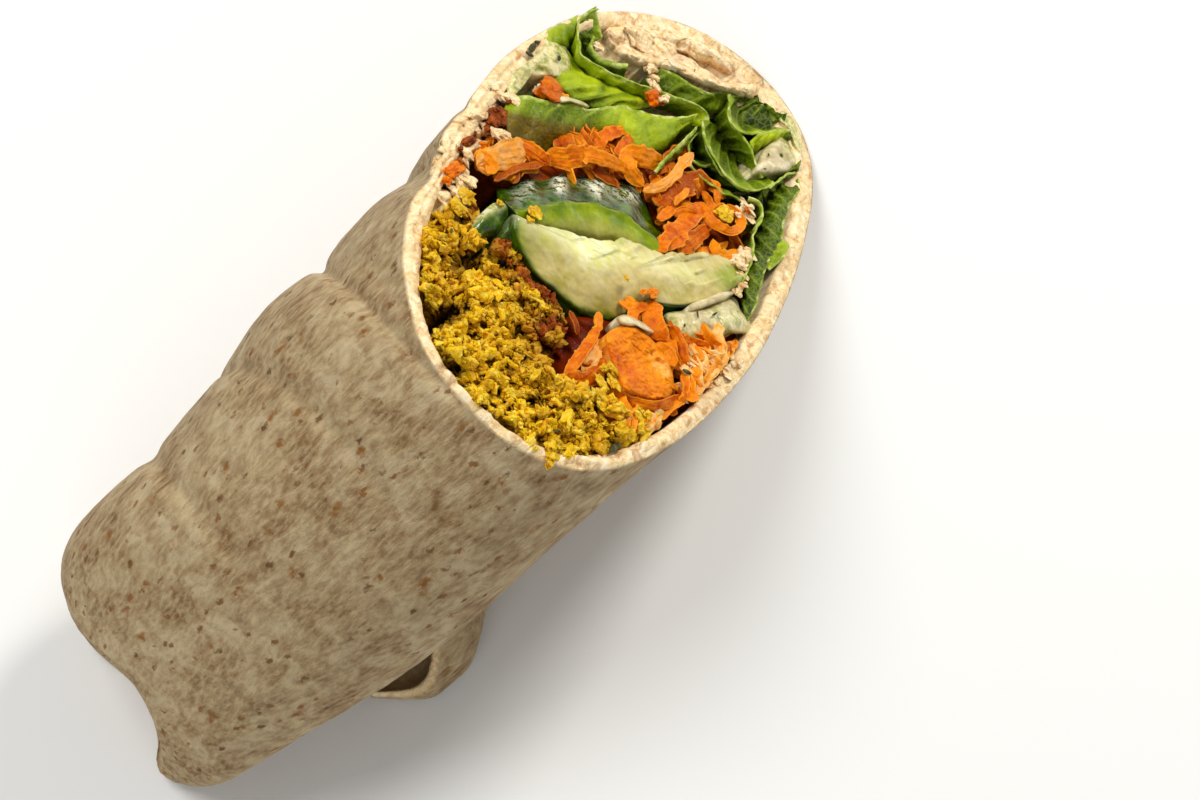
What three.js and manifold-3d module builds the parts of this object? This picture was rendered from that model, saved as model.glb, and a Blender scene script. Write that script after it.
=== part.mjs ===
// Half of a falafel wrap, cut on the slant. Millimetres, +Z up, the roll along X, the cut toward +X.
// One tortilla is rolled round two falafels, cucumber, grated carrot, lettuce and sauce.
import * as THREE from 'three';
import { mergeVertices } from 'three/addons/utils/BufferGeometryUtils.js';
import Module from 'manifold-3d';

const wasm = await Module();
wasm.setup();

// ---------------------------------------------------------------- driving sizes
// The roll's section at stations along X: half its tall way, half its thin way, and its middle in Y.
const STATION_X = [-68, -36, 6, 48, 76];
const HALF_TALL = [18, 27, 37.4, 48.5, 48.5];
const HALF_THIN = [20, 24.1, 26.2, 30.8, 33.6];
const MIDDLE_Y = [0.4, -3, -2.4, -3.8, -6.2];
const LEAN = THREE.MathUtils.degToRad(23.6);
const SQUARENESS = 2.2;
// The closed end is folded flat: over this length the roll comes down to a low edge, its corners round.
const FOLDED_END_X = -71.7;
const FOLD_FROM_X = -42;
const FOLD_HEIGHT = 0.3;
const CORNER_RADIUS = 8;
const SINK = 3;
const SINK_FADES_X = [18, 58];

// The slanted cut: x = CUT_X + CUT_PER_Y * (y - CUT_Y) - CUT_PER_Z * (z - CUT_Z).
const CUT_X = 19.8;
const CUT_Y = -3.2;
const CUT_Z = 36.75;
const CUT_PER_Y = 0.309;
const CUT_PER_Z = 1.251;

// Tortilla wall round the section, as [degrees from the +Y side, thickness].
const WALL = [
  [0, 3.4], [30, 3.1], [60, 2.1], [75, 1.8], [110, 1.9], [150, 2.5], [180, 2.8], [210, 2.9],
  [240, 2.8], [275, 3.2], [298, 2.9], [312, 2.2], [325, 2.8], [340, 3.3], [360, 3.4],
];
// Creases (and one swell) left by the press across the +Y side, as [x, depth, width].
const CREASES = [[-44, 1.1, 7], [-20, -1.4, 7], [-9.5, 0.8, 3], [7, 1.5, 3.5]];

// How far in the fillings run, and how much they draw together on the way.
const FILLING_END_X = -40;
const DRAW_IN_FROM_X = 20;
const DRAW_IN_PER_MM = 0.0012;

const AROUND = 60;
const ROWS_ALONG = 11;
// The folded end dips to here, and the tortilla's inside closes a little past the fillings.
const END_DIP = { x: FOLDED_END_X + 10, y: -2, z: 7 };
const HOLLOW_MIDDLE = { y: -3, z: 20 };
const LEAST_FLOOR = 1.7;

// ---------------------------------------------------------------- shape of the roll
const NORMAL = new THREE.Vector3(1, -CUT_PER_Y, CUT_PER_Z).normalize();
const ACROSS = new THREE.Vector3(0, 1, 0).addScaledVector(NORMAL, -NORMAL.y).normalize();
const DOWN = new THREE.Vector3().crossVectors(ACROSS, NORMAL);

// A smooth curve through values at stations, with straight ends.
function through(stations, values, at) {
  const last = stations.length - 1;
  let i = 0;
  while (i < last - 1 && at > stations[i + 1]) i += 1;
  const slope = (k) => {
    const low = Math.max(k - 1, 0);
    const high = Math.min(k + 1, last);
    return (values[high] - values[low]) / (stations[high] - stations[low]);
  };
  const span = stations[i + 1] - stations[i];
  const t = THREE.MathUtils.clamp((at - stations[i]) / span, -0.2, 1.2);
  const rise = values[i + 1] - values[i];
  const bend = (1 - t) * (slope(i) * span - rise) - t * (slope(i + 1) * span - rise);
  return values[i] + rise * t + t * (1 - t) * bend;
}

function sizes(x) {
  return {
    tall: through(STATION_X, HALF_TALL, x),
    thin: through(STATION_X, HALF_THIN, x),
    y: through(STATION_X, MIDDLE_Y, x),
  };
}

function sink(x) {
  return SINK * (1 - THREE.MathUtils.smoothstep(x, SINK_FADES_X[0], SINK_FADES_X[1]));
}

// Height of the section's middle above its lowest point.
function middleHeight(tall, thin) {
  const q = SQUARENESS / (SQUARENESS - 1);
  const fromTall = Math.abs(tall * Math.cos(LEAN)) ** q;
  const fromThin = Math.abs(thin * Math.sin(LEAN)) ** q;
  return (fromTall + fromThin) ** (1 / q);
}

function lean(across, up) {
  const y = across * Math.cos(LEAN) - up * Math.sin(LEAN);
  const z = across * Math.sin(LEAN) + up * Math.cos(LEAN);
  return [y, z];
}

function onOval(angle, tall, thin) {
  const c = Math.cos(angle);
  const s = Math.sin(angle);
  const reach = (Math.abs(c) ** SQUARENESS + Math.abs(s) ** SQUARENESS) ** (-1 / SQUARENESS);
  return lean(thin * reach * c, tall * reach * s);
}

// The table flattens the underside: what hangs low is pressed up a little.
function pressed(height, x) {
  return height - sink(x) * Math.min(1, Math.max(0, height) / 20);
}

function creases(x, angle) {
  const side = Math.max(0, Math.cos(angle - 0.25)) ** 2;
  let depth = 0;
  for (const [at, deep, wide] of CREASES) {
    depth += deep * Math.exp(-(((x - at) / wide) ** 2));
  }
  return depth * side;
}

// How much of its height the roll keeps at x, as it comes down to the folded end.
function kept(x) {
  const s = THREE.MathUtils.clamp((FOLD_FROM_X - x) / (FOLD_FROM_X - FOLDED_END_X), 0, 1);
  return FOLD_HEIGHT + (1 - FOLD_HEIGHT) * Math.sqrt(1 - s ** 2.4);
}

function outerPoint(x, angle, inset = 0) {
  const { tall, thin, y } = sizes(x);
  const dent = creases(x, angle);
  const [across, up] = onOval(angle, tall - dent, thin - dent);
  const height = (middleHeight(tall, thin) + up - sink(x)) * kept(x);
  return new THREE.Vector3(x, y + across * (1 - inset / thin), Math.max(height, 0));
}

function wall(angle) {
  const turn = THREE.MathUtils.euclideanModulo(THREE.MathUtils.radToDeg(angle), 360);
  return through(WALL.map((w) => w[0]), WALL.map((w) => w[1]), turn);
}

function innerPoint(x, angle) {
  const { tall, thin, y } = sizes(x);
  const thick = wall(angle);
  const [across, up] = onOval(angle, tall - thick, thin - thick);
  const height = pressed(middleHeight(tall, thin) + up, x);
  return new THREE.Vector3(x, y + across, Math.max(height, LEAST_FLOOR));
}

function cutX(y, z) {
  return CUT_X + CUT_PER_Y * (y - CUT_Y) - CUT_PER_Z * (z - CUT_Z);
}

// Where a line along the roll meets the cut.
function atCut(pointAt) {
  let low = -60;
  let high = 90;
  for (let step = 0; step < 40; step += 1) {
    const x = (low + high) / 2;
    const p = pointAt(x);
    if (x < cutX(p.y, p.z)) low = x;
    else high = x;
  }
  return (low + high) / 2;
}

// ---------------------------------------------------------------- places inside the roll
// A place on the cut face is [across, down] in mm from its middle. It follows the taper inward.
function drawIn(x) {
  return 1 - DRAW_IN_PER_MM * Math.max(0, DRAW_IN_FROM_X - x);
}

function onCut(across, down) {
  const p = new THREE.Vector3(CUT_X, CUT_Y, CUT_Z);
  return p.addScaledVector(ACROSS, across).addScaledVector(DOWN, down);
}

function toPlace(p) {
  const { tall, thin, y } = sizes(p.x);
  let height = p.z;
  const squeeze = sink(p.x);
  height = height < 20 - squeeze ? height / (1 - squeeze / 20) : height + squeeze;
  const up = height - middleHeight(tall, thin);
  const dy = p.y - y;
  const scale = drawIn(p.x);
  return {
    thin: (dy * Math.cos(LEAN) + up * Math.sin(LEAN)) / thin / scale,
    tall: (up * Math.cos(LEAN) - dy * Math.sin(LEAN)) / tall / scale,
    x: p.x,
  };
}

function fromPlace(place, x) {
  const { tall, thin, y } = sizes(x);
  const scale = drawIn(x);
  const [across, up] = lean(place.thin * thin * scale, place.tall * tall * scale);
  return new THREE.Vector3(x, y + across, pressed(middleHeight(tall, thin) + up, x));
}

// A point this far out of the cut face (plus) or into the roll (minus).
function proud(across, down, height) {
  const place = toPlace(onCut(across, down));
  return fromPlace(place, place.x + height / NORMAL.x);
}

// ---------------------------------------------------------------- making closed bodies
function ripple(a, b, seed) {
  const first = Math.sin(a * 1.7 + seed * 2.1) * Math.cos(b * 1.3 - seed);
  const second = Math.sin(a * 3.1 - b * 2.3 + seed * 4.7);
  return 0.6 * first + 0.4 * second;
}

function bodyFrom(points, triangles) {
  const geometry = new THREE.BufferGeometry();
  geometry.setAttribute('position', new THREE.Float32BufferAttribute(points.flatMap((p) => p.toArray()), 3));
  geometry.setIndex(triangles.flat());
  return turnOut(geometry);
}

function turnOut(geometry) {
  const p = geometry.attributes.position;
  const index = geometry.index.array;
  const [a, b, c] = [new THREE.Vector3(), new THREE.Vector3(), new THREE.Vector3()];
  let volume = 0;
  for (let i = 0; i < index.length; i += 3) {
    a.fromBufferAttribute(p, index[i]);
    b.fromBufferAttribute(p, index[i + 1]);
    c.fromBufferAttribute(p, index[i + 2]);
    volume += a.dot(b.cross(c));
  }
  if (volume < 0) {
    for (let i = 0; i < index.length; i += 3) {
      [index[i + 1], index[i + 2]] = [index[i + 2], index[i + 1]];
    }
  }
  return geometry;
}

// Closed rings one after another, with a point at each end.
function ringBody(start, rings, end) {
  const count = rings[0].length;
  const points = [start, ...rings.flat(), end];
  const triangles = [];
  for (let i = 0; i < count; i += 1) {
    const j = (i + 1) % count;
    triangles.push([0, 1 + j, 1 + i]);
    for (let r = 0; r < rings.length - 1; r += 1) {
      const here = 1 + r * count;
      const next = here + count;
      triangles.push([here + i, here + j, next + j], [here + i, next + j, next + i]);
    }
    const last = 1 + (rings.length - 1) * count;
    triangles.push([last + i, last + j, points.length - 1]);
  }
  return bodyFrom(points, triangles);
}

// A sheet from two faces of rows and columns, both split alike.
function sheetBody(front, back) {
  const rows = front.length;
  const columns = front[0].length;
  const points = [...front.flat(), ...back.flat()];
  const half = rows * columns;
  const at = (r, c) => r * columns + c;
  const triangles = [];
  for (let r = 0; r < rows - 1; r += 1) {
    for (let c = 0; c < columns - 1; c += 1) {
      const [p, q, s, t] = [at(r, c), at(r + 1, c), at(r + 1, c + 1), at(r, c + 1)];
      triangles.push([p, q, s], [p, s, t]);
      triangles.push([half + p, half + s, half + q], [half + p, half + t, half + s]);
    }
  }
  const edge = [];
  for (let c = 0; c < columns - 1; c += 1) edge.push(at(0, c));
  for (let r = 0; r < rows - 1; r += 1) edge.push(at(r, columns - 1));
  for (let c = columns - 1; c > 0; c -= 1) edge.push(at(rows - 1, c));
  for (let r = rows - 1; r > 0; r -= 1) edge.push(at(r, 0));
  for (let i = 0; i < edge.length; i += 1) {
    const a = edge[i];
    const b = edge[(i + 1) % edge.length];
    triangles.push([a, b, half + b], [a, half + b, half + a]);
  }
  return bodyFrom(points, triangles);
}

function solidFrom(geometry) {
  const bare = geometry.clone();
  bare.deleteAttribute('normal');
  bare.deleteAttribute('uv');
  const merged = mergeVertices(bare, 1e-4);
  const vertProperties = new Float32Array(merged.attributes.position.array);
  const triVerts = new Uint32Array(merged.index.array);
  return new wasm.Manifold(new wasm.Mesh({ numProp: 3, vertProperties, triVerts }));
}

function geometryFrom(solid) {
  const mesh = solid.getMesh();
  const geometry = new THREE.BufferGeometry();
  geometry.setAttribute('position', new THREE.BufferAttribute(new Float32Array(mesh.vertProperties), 3));
  geometry.setIndex(new THREE.BufferAttribute(new Uint32Array(mesh.triVerts), 1));
  return geometry;
}

function lerpOutline(outline, t) {
  const i = Math.floor(t) % outline.length;
  const j = (i + 1) % outline.length;
  const f = t - Math.floor(t);
  return [
    outline[i][0] * (1 - f) + outline[j][0] * f,
    outline[i][1] * (1 - f) + outline[j][1] * f,
  ];
}

// Points at even steps round a closed outline on the cut face.
function evenly(outline, count) {
  const lengths = outline.map((p, i) => {
    const q = outline[(i + 1) % outline.length];
    return Math.hypot(q[0] - p[0], q[1] - p[1]);
  });
  const total = lengths.reduce((sum, l) => sum + l, 0);
  const points = [];
  let side = 0;
  let before = 0;
  for (let i = 0; i < count; i += 1) {
    const along = (total * i) / count;
    while (along > before + lengths[side]) {
      before += lengths[side];
      side += 1;
    }
    points.push(lerpOutline(outline, side + (along - before) / lengths[side]));
  }
  return points;
}

// A filling with this outline on the cut, running in along the roll to endX. relief gives how proud
// its face is, and steps where its rings lie between middle and edge.
function filling(outline, { around, steps, middle, relief, endX = FILLING_END_X }) {
  const edge = evenly(outline, around);
  const centre = middle ?? [
    edge.reduce((sum, p) => sum + p[0], 0) / around,
    edge.reduce((sum, p) => sum + p[1], 0) / around,
  ];
  const ringAt = (share) => edge.map((p) => [
    centre[0] + (p[0] - centre[0]) * share,
    centre[1] + (p[1] - centre[1]) * share,
  ]);
  const rings = steps.map((share) => ringAt(share).map(([a, d]) => proud(a, d, relief(a, d, share))));
  const sides = edge.map(([a, d]) => toPlace(onCut(a, d)));
  for (const depth of [0.3, 0.65, 1]) {
    rings.push(sides.map((place) => {
      const start = place.x - 2.5;
      return fromPlace(place, start + (endX - start) * depth);
    }));
  }
  const far = toPlace(onCut(...centre));
  return ringBody(proud(...centre, relief(...centre, 0)), rings, fromPlace(far, endX));
}

// ---------------------------------------------------------------- tortilla
function tortilla() {
  const angles = Array.from({ length: AROUND }, (_, i) => (i / AROUND) * 2 * Math.PI);
  const rings = [];

  // The folded end's two sides stand out as ears, and its middle is drawn in.
  const endReach = (angle) => {
    const side = Math.cos(angle + 0.15);
    const drawn = 3.4 * (1 - Math.abs(side) ** 1.6);
    const stands = side < 0 ? -2.2 * side ** 4 : 3.5 * side ** 4;
    return FOLDED_END_X + 1.5 + drawn + stands;
  };
  const endMiddle = new THREE.Vector3(END_DIP.x, END_DIP.y, END_DIP.z);
  for (const share of [0.35, 0.7, 0.92]) {
    rings.push(angles.map((angle) => {
      const rim = outerPoint(endReach(angle), angle, CORNER_RADIUS);
      const p = rim.clone().lerp(endMiddle, 1 - share);
      p.z = THREE.MathUtils.lerp(rim.z, 6, 0.12 + 0.4 * (1 - share));
      p.x = THREE.MathUtils.lerp(endMiddle.x, rim.x, share ** 0.8);
      return p;
    }));
  }
  for (const turn of [0.05, 0.35, 0.7, 1]) {
    const bend = (turn * Math.PI) / 2;
    const back = CORNER_RADIUS * (1 - Math.sin(bend));
    const out = CORNER_RADIUS * (1 - Math.cos(bend));
    rings.push(angles.map((angle) => outerPoint(endReach(angle) + out, angle, back)));
  }

  // Out along the roll to the cut, with a row at each crease and each crest.
  const outerCut = angles.map((angle) => atCut((x) => outerPoint(x, angle)));
  for (let row = 1; row < ROWS_ALONG; row += 1) {
    rings.push(angles.map((angle, i) => {
      const start = endReach(angle) + CORNER_RADIUS;
      return outerPoint(THREE.MathUtils.lerp(start, outerCut[i], row / ROWS_ALONG), angle);
    }));
  }

  // The cut edge is a little ragged.
  const ragged = (angle) => 0.45 * ripple(angle * 5, angle * 3, 1);
  rings.push(angles.map((angle, i) => outerPoint(outerCut[i] + ragged(angle), angle)));
  const innerCut = angles.map((angle) => atCut((x) => innerPoint(x, angle)));
  rings.push(angles.map((angle, i) => {
    const outside = outerPoint(outerCut[i], angle);
    const inside = innerPoint(innerCut[i], angle);
    const p = outside.lerp(inside, 0.5);
    p.x += 0.5 + ragged(angle + 1);
    return p;
  }));
  rings.push(angles.map((angle, i) => innerPoint(innerCut[i] + ragged(angle + 2), angle)));

  // Back down the inside, to just past the fillings.
  for (const share of [0.12, 0.3, 0.5, 0.75, 1]) {
    rings.push(angles.map((angle, i) => {
      const x = THREE.MathUtils.lerp(innerCut[i], FILLING_END_X - 2, share);
      return innerPoint(x, angle);
    }));
  }
  for (const share of [0.7, 0.35]) {
    rings.push(angles.map((angle) => {
      const p = innerPoint(FILLING_END_X - 2, angle);
      p.y = THREE.MathUtils.lerp(HOLLOW_MIDDLE.y, p.y, share);
      p.z = THREE.MathUtils.lerp(HOLLOW_MIDDLE.z, p.z, share);
      p.x = FILLING_END_X - 2 - 3 * (1 - share);
      return p;
    }));
  }
  const endInside = new THREE.Vector3(FILLING_END_X - 6, HOLLOW_MIDDLE.y, HOLLOW_MIDDLE.z);
  return ringBody(endMiddle, rings, endInside);
}

// The tortilla's tucked-in edge stands off low on the -Y side as a folded ear, open toward the closed end.
const EAR = { fromX: -42, mouthX: -31, toX: -18, reachY: -29, floor: 1, thick: 1.8 };
const EAR_SEAM = [THREE.MathUtils.degToRad(178), THREE.MathUtils.degToRad(196)];

function ear() {
  const sheet = (inward) => {
    const rows = [];
    for (let r = 0; r <= 12; r += 1) {
      const x = THREE.MathUtils.lerp(EAR.fromX, EAR.toX, r / 12);
      const opens = THREE.MathUtils.smoothstep(x, EAR.fromX - 5, EAR.mouthX - 3);
      const shuts = THREE.MathUtils.smoothstep(x, EAR.mouthX + 1, EAR.toX + 2);
      const reach = THREE.MathUtils.lerp(-20, EAR.reachY, opens * (1 - 0.85 * shuts)) + inward * opens;
      const seamAt = THREE.MathUtils.lerp(EAR_SEAM[0], EAR_SEAM[1], shuts);
      const seam = outerPoint(x, seamAt, 1 + inward);
      const tip = new THREE.Vector3(x, reach, EAR.floor + 1.6 + inward * 0.6);
      const lip = 0.12 + 0.88 * THREE.MathUtils.smoothstep(x, EAR.mouthX - 8, EAR.mouthX + 3);
      const row = [
        new THREE.Vector3(x, -8, EAR.floor + inward * 0.9),
        new THREE.Vector3(x, reach * 0.6, EAR.floor + inward * 0.9),
        new THREE.Vector3(x, reach + 1.8, EAR.floor - 0.2 + inward),
        tip,
      ];
      for (const share of [0.3, 0.65, 1]) {
        const t = share * lip;
        const side = tip.clone().lerp(seam, t);
        side.y -= 1.6 * Math.sin(Math.PI * t) * opens;
        row.push(side);
      }
      rows.push(row);
    }
    return rows;
  };
  return sheetBody(sheet(0), sheet(EAR.thick));
}

// The inner end of the tortilla is crumpled into a thick fold beside the lettuce.
const TAIL = [
  [29.2, 33.2], [26.6, 32.2], [24.2, 33], [23.2, 37], [21.4, 41.4], [18.6, 45.2], [17, 48.8], [15.4, 52.2],
  [13, 55], [15.4, 56.6], [19.6, 52.6], [24, 47], [27.4, 40.6],
];

// ---------------------------------------------------------------- fillings
// Falafel crumbles where it is cut: pits and lumps of a few millimetres.
function crumbs(seed, depth) {
  return (a, d, share) => {
    const lumps = ripple(a * 0.9, d * 0.9, seed) + 0.5 * ripple(a * 2.3, d * 2.1, seed + 3);
    return depth * lumps - 1.6 * share ** 6;
  };
}

const FALAFEL_UPPER = [
  [14.6, -16.6], [15, -20.5], [13, -25], [9.8, -29], [5, -33.4], [1.4, -36],
  [1.2, -33], [4.4, -28], [8, -23.2], [9, -20.6], [12.6, -20.6],
];
const FALAFEL_LOWER = [
  [7.4, -15], [3.6, -14.2], [0, -14.4], [-3.4, -13.4], [-7, -15.6], [-8.8, -19.2], [-10.4, -23.4],
  [-14, -24.6], [-17, -23], [-18.4, -19], [-21, -16.2], [-23.2, -12.2], [-24.8, -13], [-25, -20],
  [-24, -26.4], [-21.6, -30.6], [-16.6, -33.2], [-13, -35.6], [-9, -37.4], [-5, -38], [-0.6, -36.2],
  [0, -33], [3.2, -28], [6.6, -22.8], [7.4, -19],
];

const CUCUMBER_FRONT = [
  [-3, 13], [-0.4, 10.6], [2.2, 3], [5, -3.2], [8.6, -8.4], [8.2, -10.6], [5, -12.6], [0, -13.2],
  [-4, -11.6], [-7.4, -9], [-9, -5.6], [-9, 2], [-10.4, 5], [-12.2, 10], [-12.8, 16], [-12.4, 22],
  [-9.8, 23.4], [-8, 20.8], [-5.8, 16],
];
const CUCUMBER_REAR = [
  [8.8, -6.2], [5.6, -2.4], [3, 3.4], [0.4, 11], [-1.8, 13.4], [3, 15.8], [8, 15.8], [9.8, 12],
  [12, 6], [13.8, 0], [14.4, -6], [13.6, -9.2], [10.6, -9.2],
];
const CUCUMBER_SMALL = [
  [13, -10.4], [11.2, -10.2], [9.2, -12.6], [8.2, -15.4], [8.4, -19.4], [11.6, -19.6], [13, -15],
];

// The front slice stands a little proud and its face tips toward the sauce.
function sliceFace(proudAtTop, proudAtFoot, topDown, footDown) {
  return (a, d, share) => {
    const t = THREE.MathUtils.clamp((d - topDown) / (footDown - topDown), 0, 1);
    return THREE.MathUtils.lerp(proudAtTop, proudAtFoot, t) - 0.7 * share ** 10;
  };
}

const CARROT_UPPER = [
  [21, 0.6], [20.4, -6], [19, -9.4], [16.6, -9.8], [15.4, -6], [14.6, 1], [12.8, 7], [10.6, 13],
  [9, 17.4], [3, 17.4], [-1.6, 15.7], [-3.4, 15.4], [-5.2, 18], [-6.8, 22.6], [-7.6, 27], [-6.2, 31],
  [-3.4, 35.4], [-1.6, 33.6], [1.4, 30.8], [4.6, 29.4], [7, 30.2], [7.4, 26], [10.6, 21.6], [13.2, 22.6],
  [15.6, 21.4], [15.8, 15], [17.6, 10.4], [16.4, 5.4], [18, 2],
];
const CARROT_LOWER = [
  [-11.2, 3.2], [-10.2, -2], [-10, -10], [-9.4, -14], [-10.4, -18.4], [-11.6, -22], [-14, -23.2],
  [-16.4, -21.8], [-17.8, -18.2], [-20.4, -15.4], [-22.6, -11.4], [-24.8, -11.8], [-24.9, -5],
  [-23.6, 1], [-21.8, 9], [-20.6, 15], [-19.9, 12], [-19.2, 8], [-17.6, 4.6], [-14.2, 2.4], [-12.4, 4.2],
];

// One grated shred: a bent strip lying across the cut face, its two ends lifted or buried.
function shred(across, down, turn, length, width, lift, bend) {
  const rows = [[], []];
  const along = [Math.cos(turn), Math.sin(turn)];
  const side = [-along[1], along[0]];
  const steps = 3;
  for (let i = 0; i <= steps; i += 1) {
    const t = i / steps - 0.5;
    const taper = 1 - 0.55 * (2 * t) ** 4;
    const swing = bend * (t * t * 4 - 0.5);
    const centreA = across + along[0] * t * length + side[0] * swing;
    const centreD = down + along[1] * t * length + side[1] * swing;
    const height = (lift + 1.2) * Math.cos(t * 3) - 0.7;
    const half = (width / 2) * taper;
    for (const face of [0, 1]) {
      const h = height - face * 1.3;
      rows[face].push([
        proud(centreA - side[0] * half, centreD - side[1] * half, h - 0.5),
        proud(centreA + side[0] * half, centreD + side[1] * half, h + 0.3),
      ]);
    }
  }
  return sheetBody(rows[0], rows[1]);
}

// A heap is a core with the shreds that show joined on, kept inside its own part of the roll.
function heap(outline, shreds, middle) {
  const around = 24;
  const low = (a, d) => -1.2 + 0.7 * ripple(a * 1.3, d * 1.3, 5);
  const core = solidFrom(filling(outline, { around, steps: [0.55, 1], middle, relief: low }));
  const room = solidFrom(filling(outline, { around, steps: [1], middle, relief: () => 6 }));
  const pieces = shreds.map((spec) => solidFrom(shred(...spec)));
  const piled = pieces.reduce((sum, piece) => sum.add(piece), core);
  return geometryFrom(piled.intersect(room));
}

// ---------------------------------------------------------------- lettuce
// A leaf is a thin wavy sheet: its edge follows a line across the cut, and it runs in along the roll.
function leaf(line, { thick, seed, proudBy, columns }) {
  const front = [];
  const back = [];
  const edge = [];
  for (let i = 0; i <= columns; i += 1) {
    const t = (i / columns) * (line.length - 1);
    const k = Math.min(Math.floor(t), line.length - 2);
    const f = t - k;
    const before = line[Math.max(k - 1, 0)];
    const after = line[Math.min(k + 2, line.length - 1)];
    const at = [0, 1].map((n) => {
      const straight = line[k][n] * (1 - f) + line[k + 1][n] * f;
      const bow = (line[k][n] + line[k + 1][n] - before[n] - after[n]) * 0.5 * f * (1 - f);
      return straight + bow * 0.5;
    });
    edge.push(at);
  }
  edge.forEach((at, i) => {
    const p = edge[Math.max(i - 1, 0)];
    const q = edge[Math.min(i + 1, columns)];
    const size = Math.hypot(q[0] - p[0], q[1] - p[1]);
    const side = [-(q[1] - p[1]) / size, (q[0] - p[0]) / size];
    // The slant stretches the cut face downward, so a sheet is drawn thicker that way to stay even.
    const half = (thick / 2) * (1 + 0.6 * Math.abs(side[1]));
    const places = [1, -1].map((sign) => toPlace(onCut(
      at[0] + side[0] * half * sign,
      at[1] + side[1] * half * sign,
    )));
    const rise = (proudBy * (0.7 + 0.4 * ripple(i * 0.45, 0.4, seed))) / NORMAL.x;
    [front, back].forEach((rows, n) => {
      const place = places[n];
      const startX = (places[0].x + places[1].x) / 2 + rise;
      const row = [];
      for (const share of [0, 0.06, 0.2, 0.5, 1]) {
        const p2 = fromPlace(place, THREE.MathUtils.lerp(startX, FILLING_END_X, share));
        p2.z += 0.16 * ripple(i * 1.4, share * 9, seed + 2) * (1 - share);
        row.push(p2);
      }
      rows.push(row);
    });
  });
  return sheetBody(front, back);
}

const LEAVES = [
  {
    name: 'leaf_long_fold',
    thick: 1.2,
    proudBy: 2.2,
    colour: 0x7f9412,
    line: [
      [31.2, 30.5], [29.8, 27.6], [28, 25.6], [24, 27.8], [20.6, 31], [17.6, 34.4], [15.2, 38],
      [13.8, 40.6],
    ],
  },
  {
    name: 'leaf_under_fold',
    thick: 0.9,
    proudBy: 1,
    colour: 0x6d8a10,
    line: [
      [30.8, 24.6], [29.2, 22.6], [26.4, 22.8], [23.4, 25], [21, 25.6],
    ],
  },
  {
    name: 'leaf_middle',
    thick: 1.2,
    proudBy: 1.6,
    colour: 0x8aa018,
    line: [
      [23.6, 4.4], [22.6, 8.4], [21.8, 12], [20.6, 16], [19.8, 20], [18.4, 23.8], [16.4, 27],
      [14.4, 30.4], [13.2, 34.4], [12.6, 38],
    ],
  },
  {
    name: 'leaf_cup_top',
    thick: 0.9,
    proudBy: 2.2,
    colour: 0x5f8016,
    line: [
      [14, 50.4], [13.2, 47.8], [11.4, 45.6], [9.2, 45], [7.2, 46.2], [6.2, 49.4], [6, 52.4],
    ],
  },
  {
    name: 'leaf_cup_middle',
    thick: 0.9,
    proudBy: 2,
    colour: 0x4f7410,
    line: [
      [11, 39.8], [9, 37.6], [6, 36.4], [3, 36.4], [1, 37.6], [-0.2, 40.2], [-0.4, 43.4],
    ],
  },
  {
    name: 'leaf_cup_foot',
    thick: 0.8,
    proudBy: 0.6,
    colour: 0x3f6410,
    line: [
      [10.4, 36], [9.2, 33.2], [7.2, 31.7], [4.4, 31.2], [1.8, 32.6], [-0.6, 35.2], [-1.4, 37.6],
    ],
  },
  {
    name: 'leaf_dark',
    thick: 0.9,
    proudBy: 0.8,
    colour: 0x375a0e,
    line: [
      [21, 38.6], [19, 41], [17.2, 43.2], [15.8, 45.6], [15.2, 47.6],
    ],
  },
  {
    name: 'leaf_side',
    thick: 1.6,
    proudBy: 1.2,
    colour: 0x3f6a14,
    line: [
      [-0.9, 48.6], [-2.1, 45.8], [-4, 42.2], [-7, 37.2], [-10, 31.6], [-13, 25.8], [-15.2, 21.4],
    ],
  },
  {
    name: 'leaf_curl',
    thick: 0.7,
    proudBy: 1.4,
    colour: 0x47701c,
    line: [
      [-2.4, 36.8], [-3.4, 38.2], [-4.6, 36.8], [-6.4, 33.2], [-8.8, 29.6], [-10.6, 26.4],
    ],
  },
  {
    name: 'leaf_strip',
    thick: 0.6,
    proudBy: 0.5,
    colour: 0x8fa84a,
    line: [
      [-9.9, 37.6], [-11.2, 34.7], [-12.3, 32],
    ],
  },
  {
    name: 'leaf_sliver',
    thick: 0.8,
    proudBy: 2.4,
    colour: 0x93a54a,
    line: [
      [11.7, 36.4], [11, 33], [10.1, 29.6], [9, 26.8],
    ],
  },
];

const SAUCE_RIGHT = [
  [4.8, 52.6], [2.8, 51.6], [1.2, 49.6], [0.7, 47.4], [1.6, 44.8], [2.6, 42.6], [4.4, 45.4], [5, 49.4],
];
const SAUCE_LOWER = [
  [-13.6, 19], [-13.5, 14], [-13.1, 9.8], [-12.1, 6.8], [-14, 3.9], [-17.2, 6], [-18.5, 9.6],
  [-19, 14], [-18.2, 18.2], [-16, 19.4],
];
const SAUCE_LEFT = [
  [30.6, 19.8], [28.4, 20.8], [26.8, 19], [27.6, 15], [27.2, 10.6], [25.4, 7.4], [24.5, 5], [25.3, 4.2],
  [27, 7.4], [28.8, 12], [30, 16],
];

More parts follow.
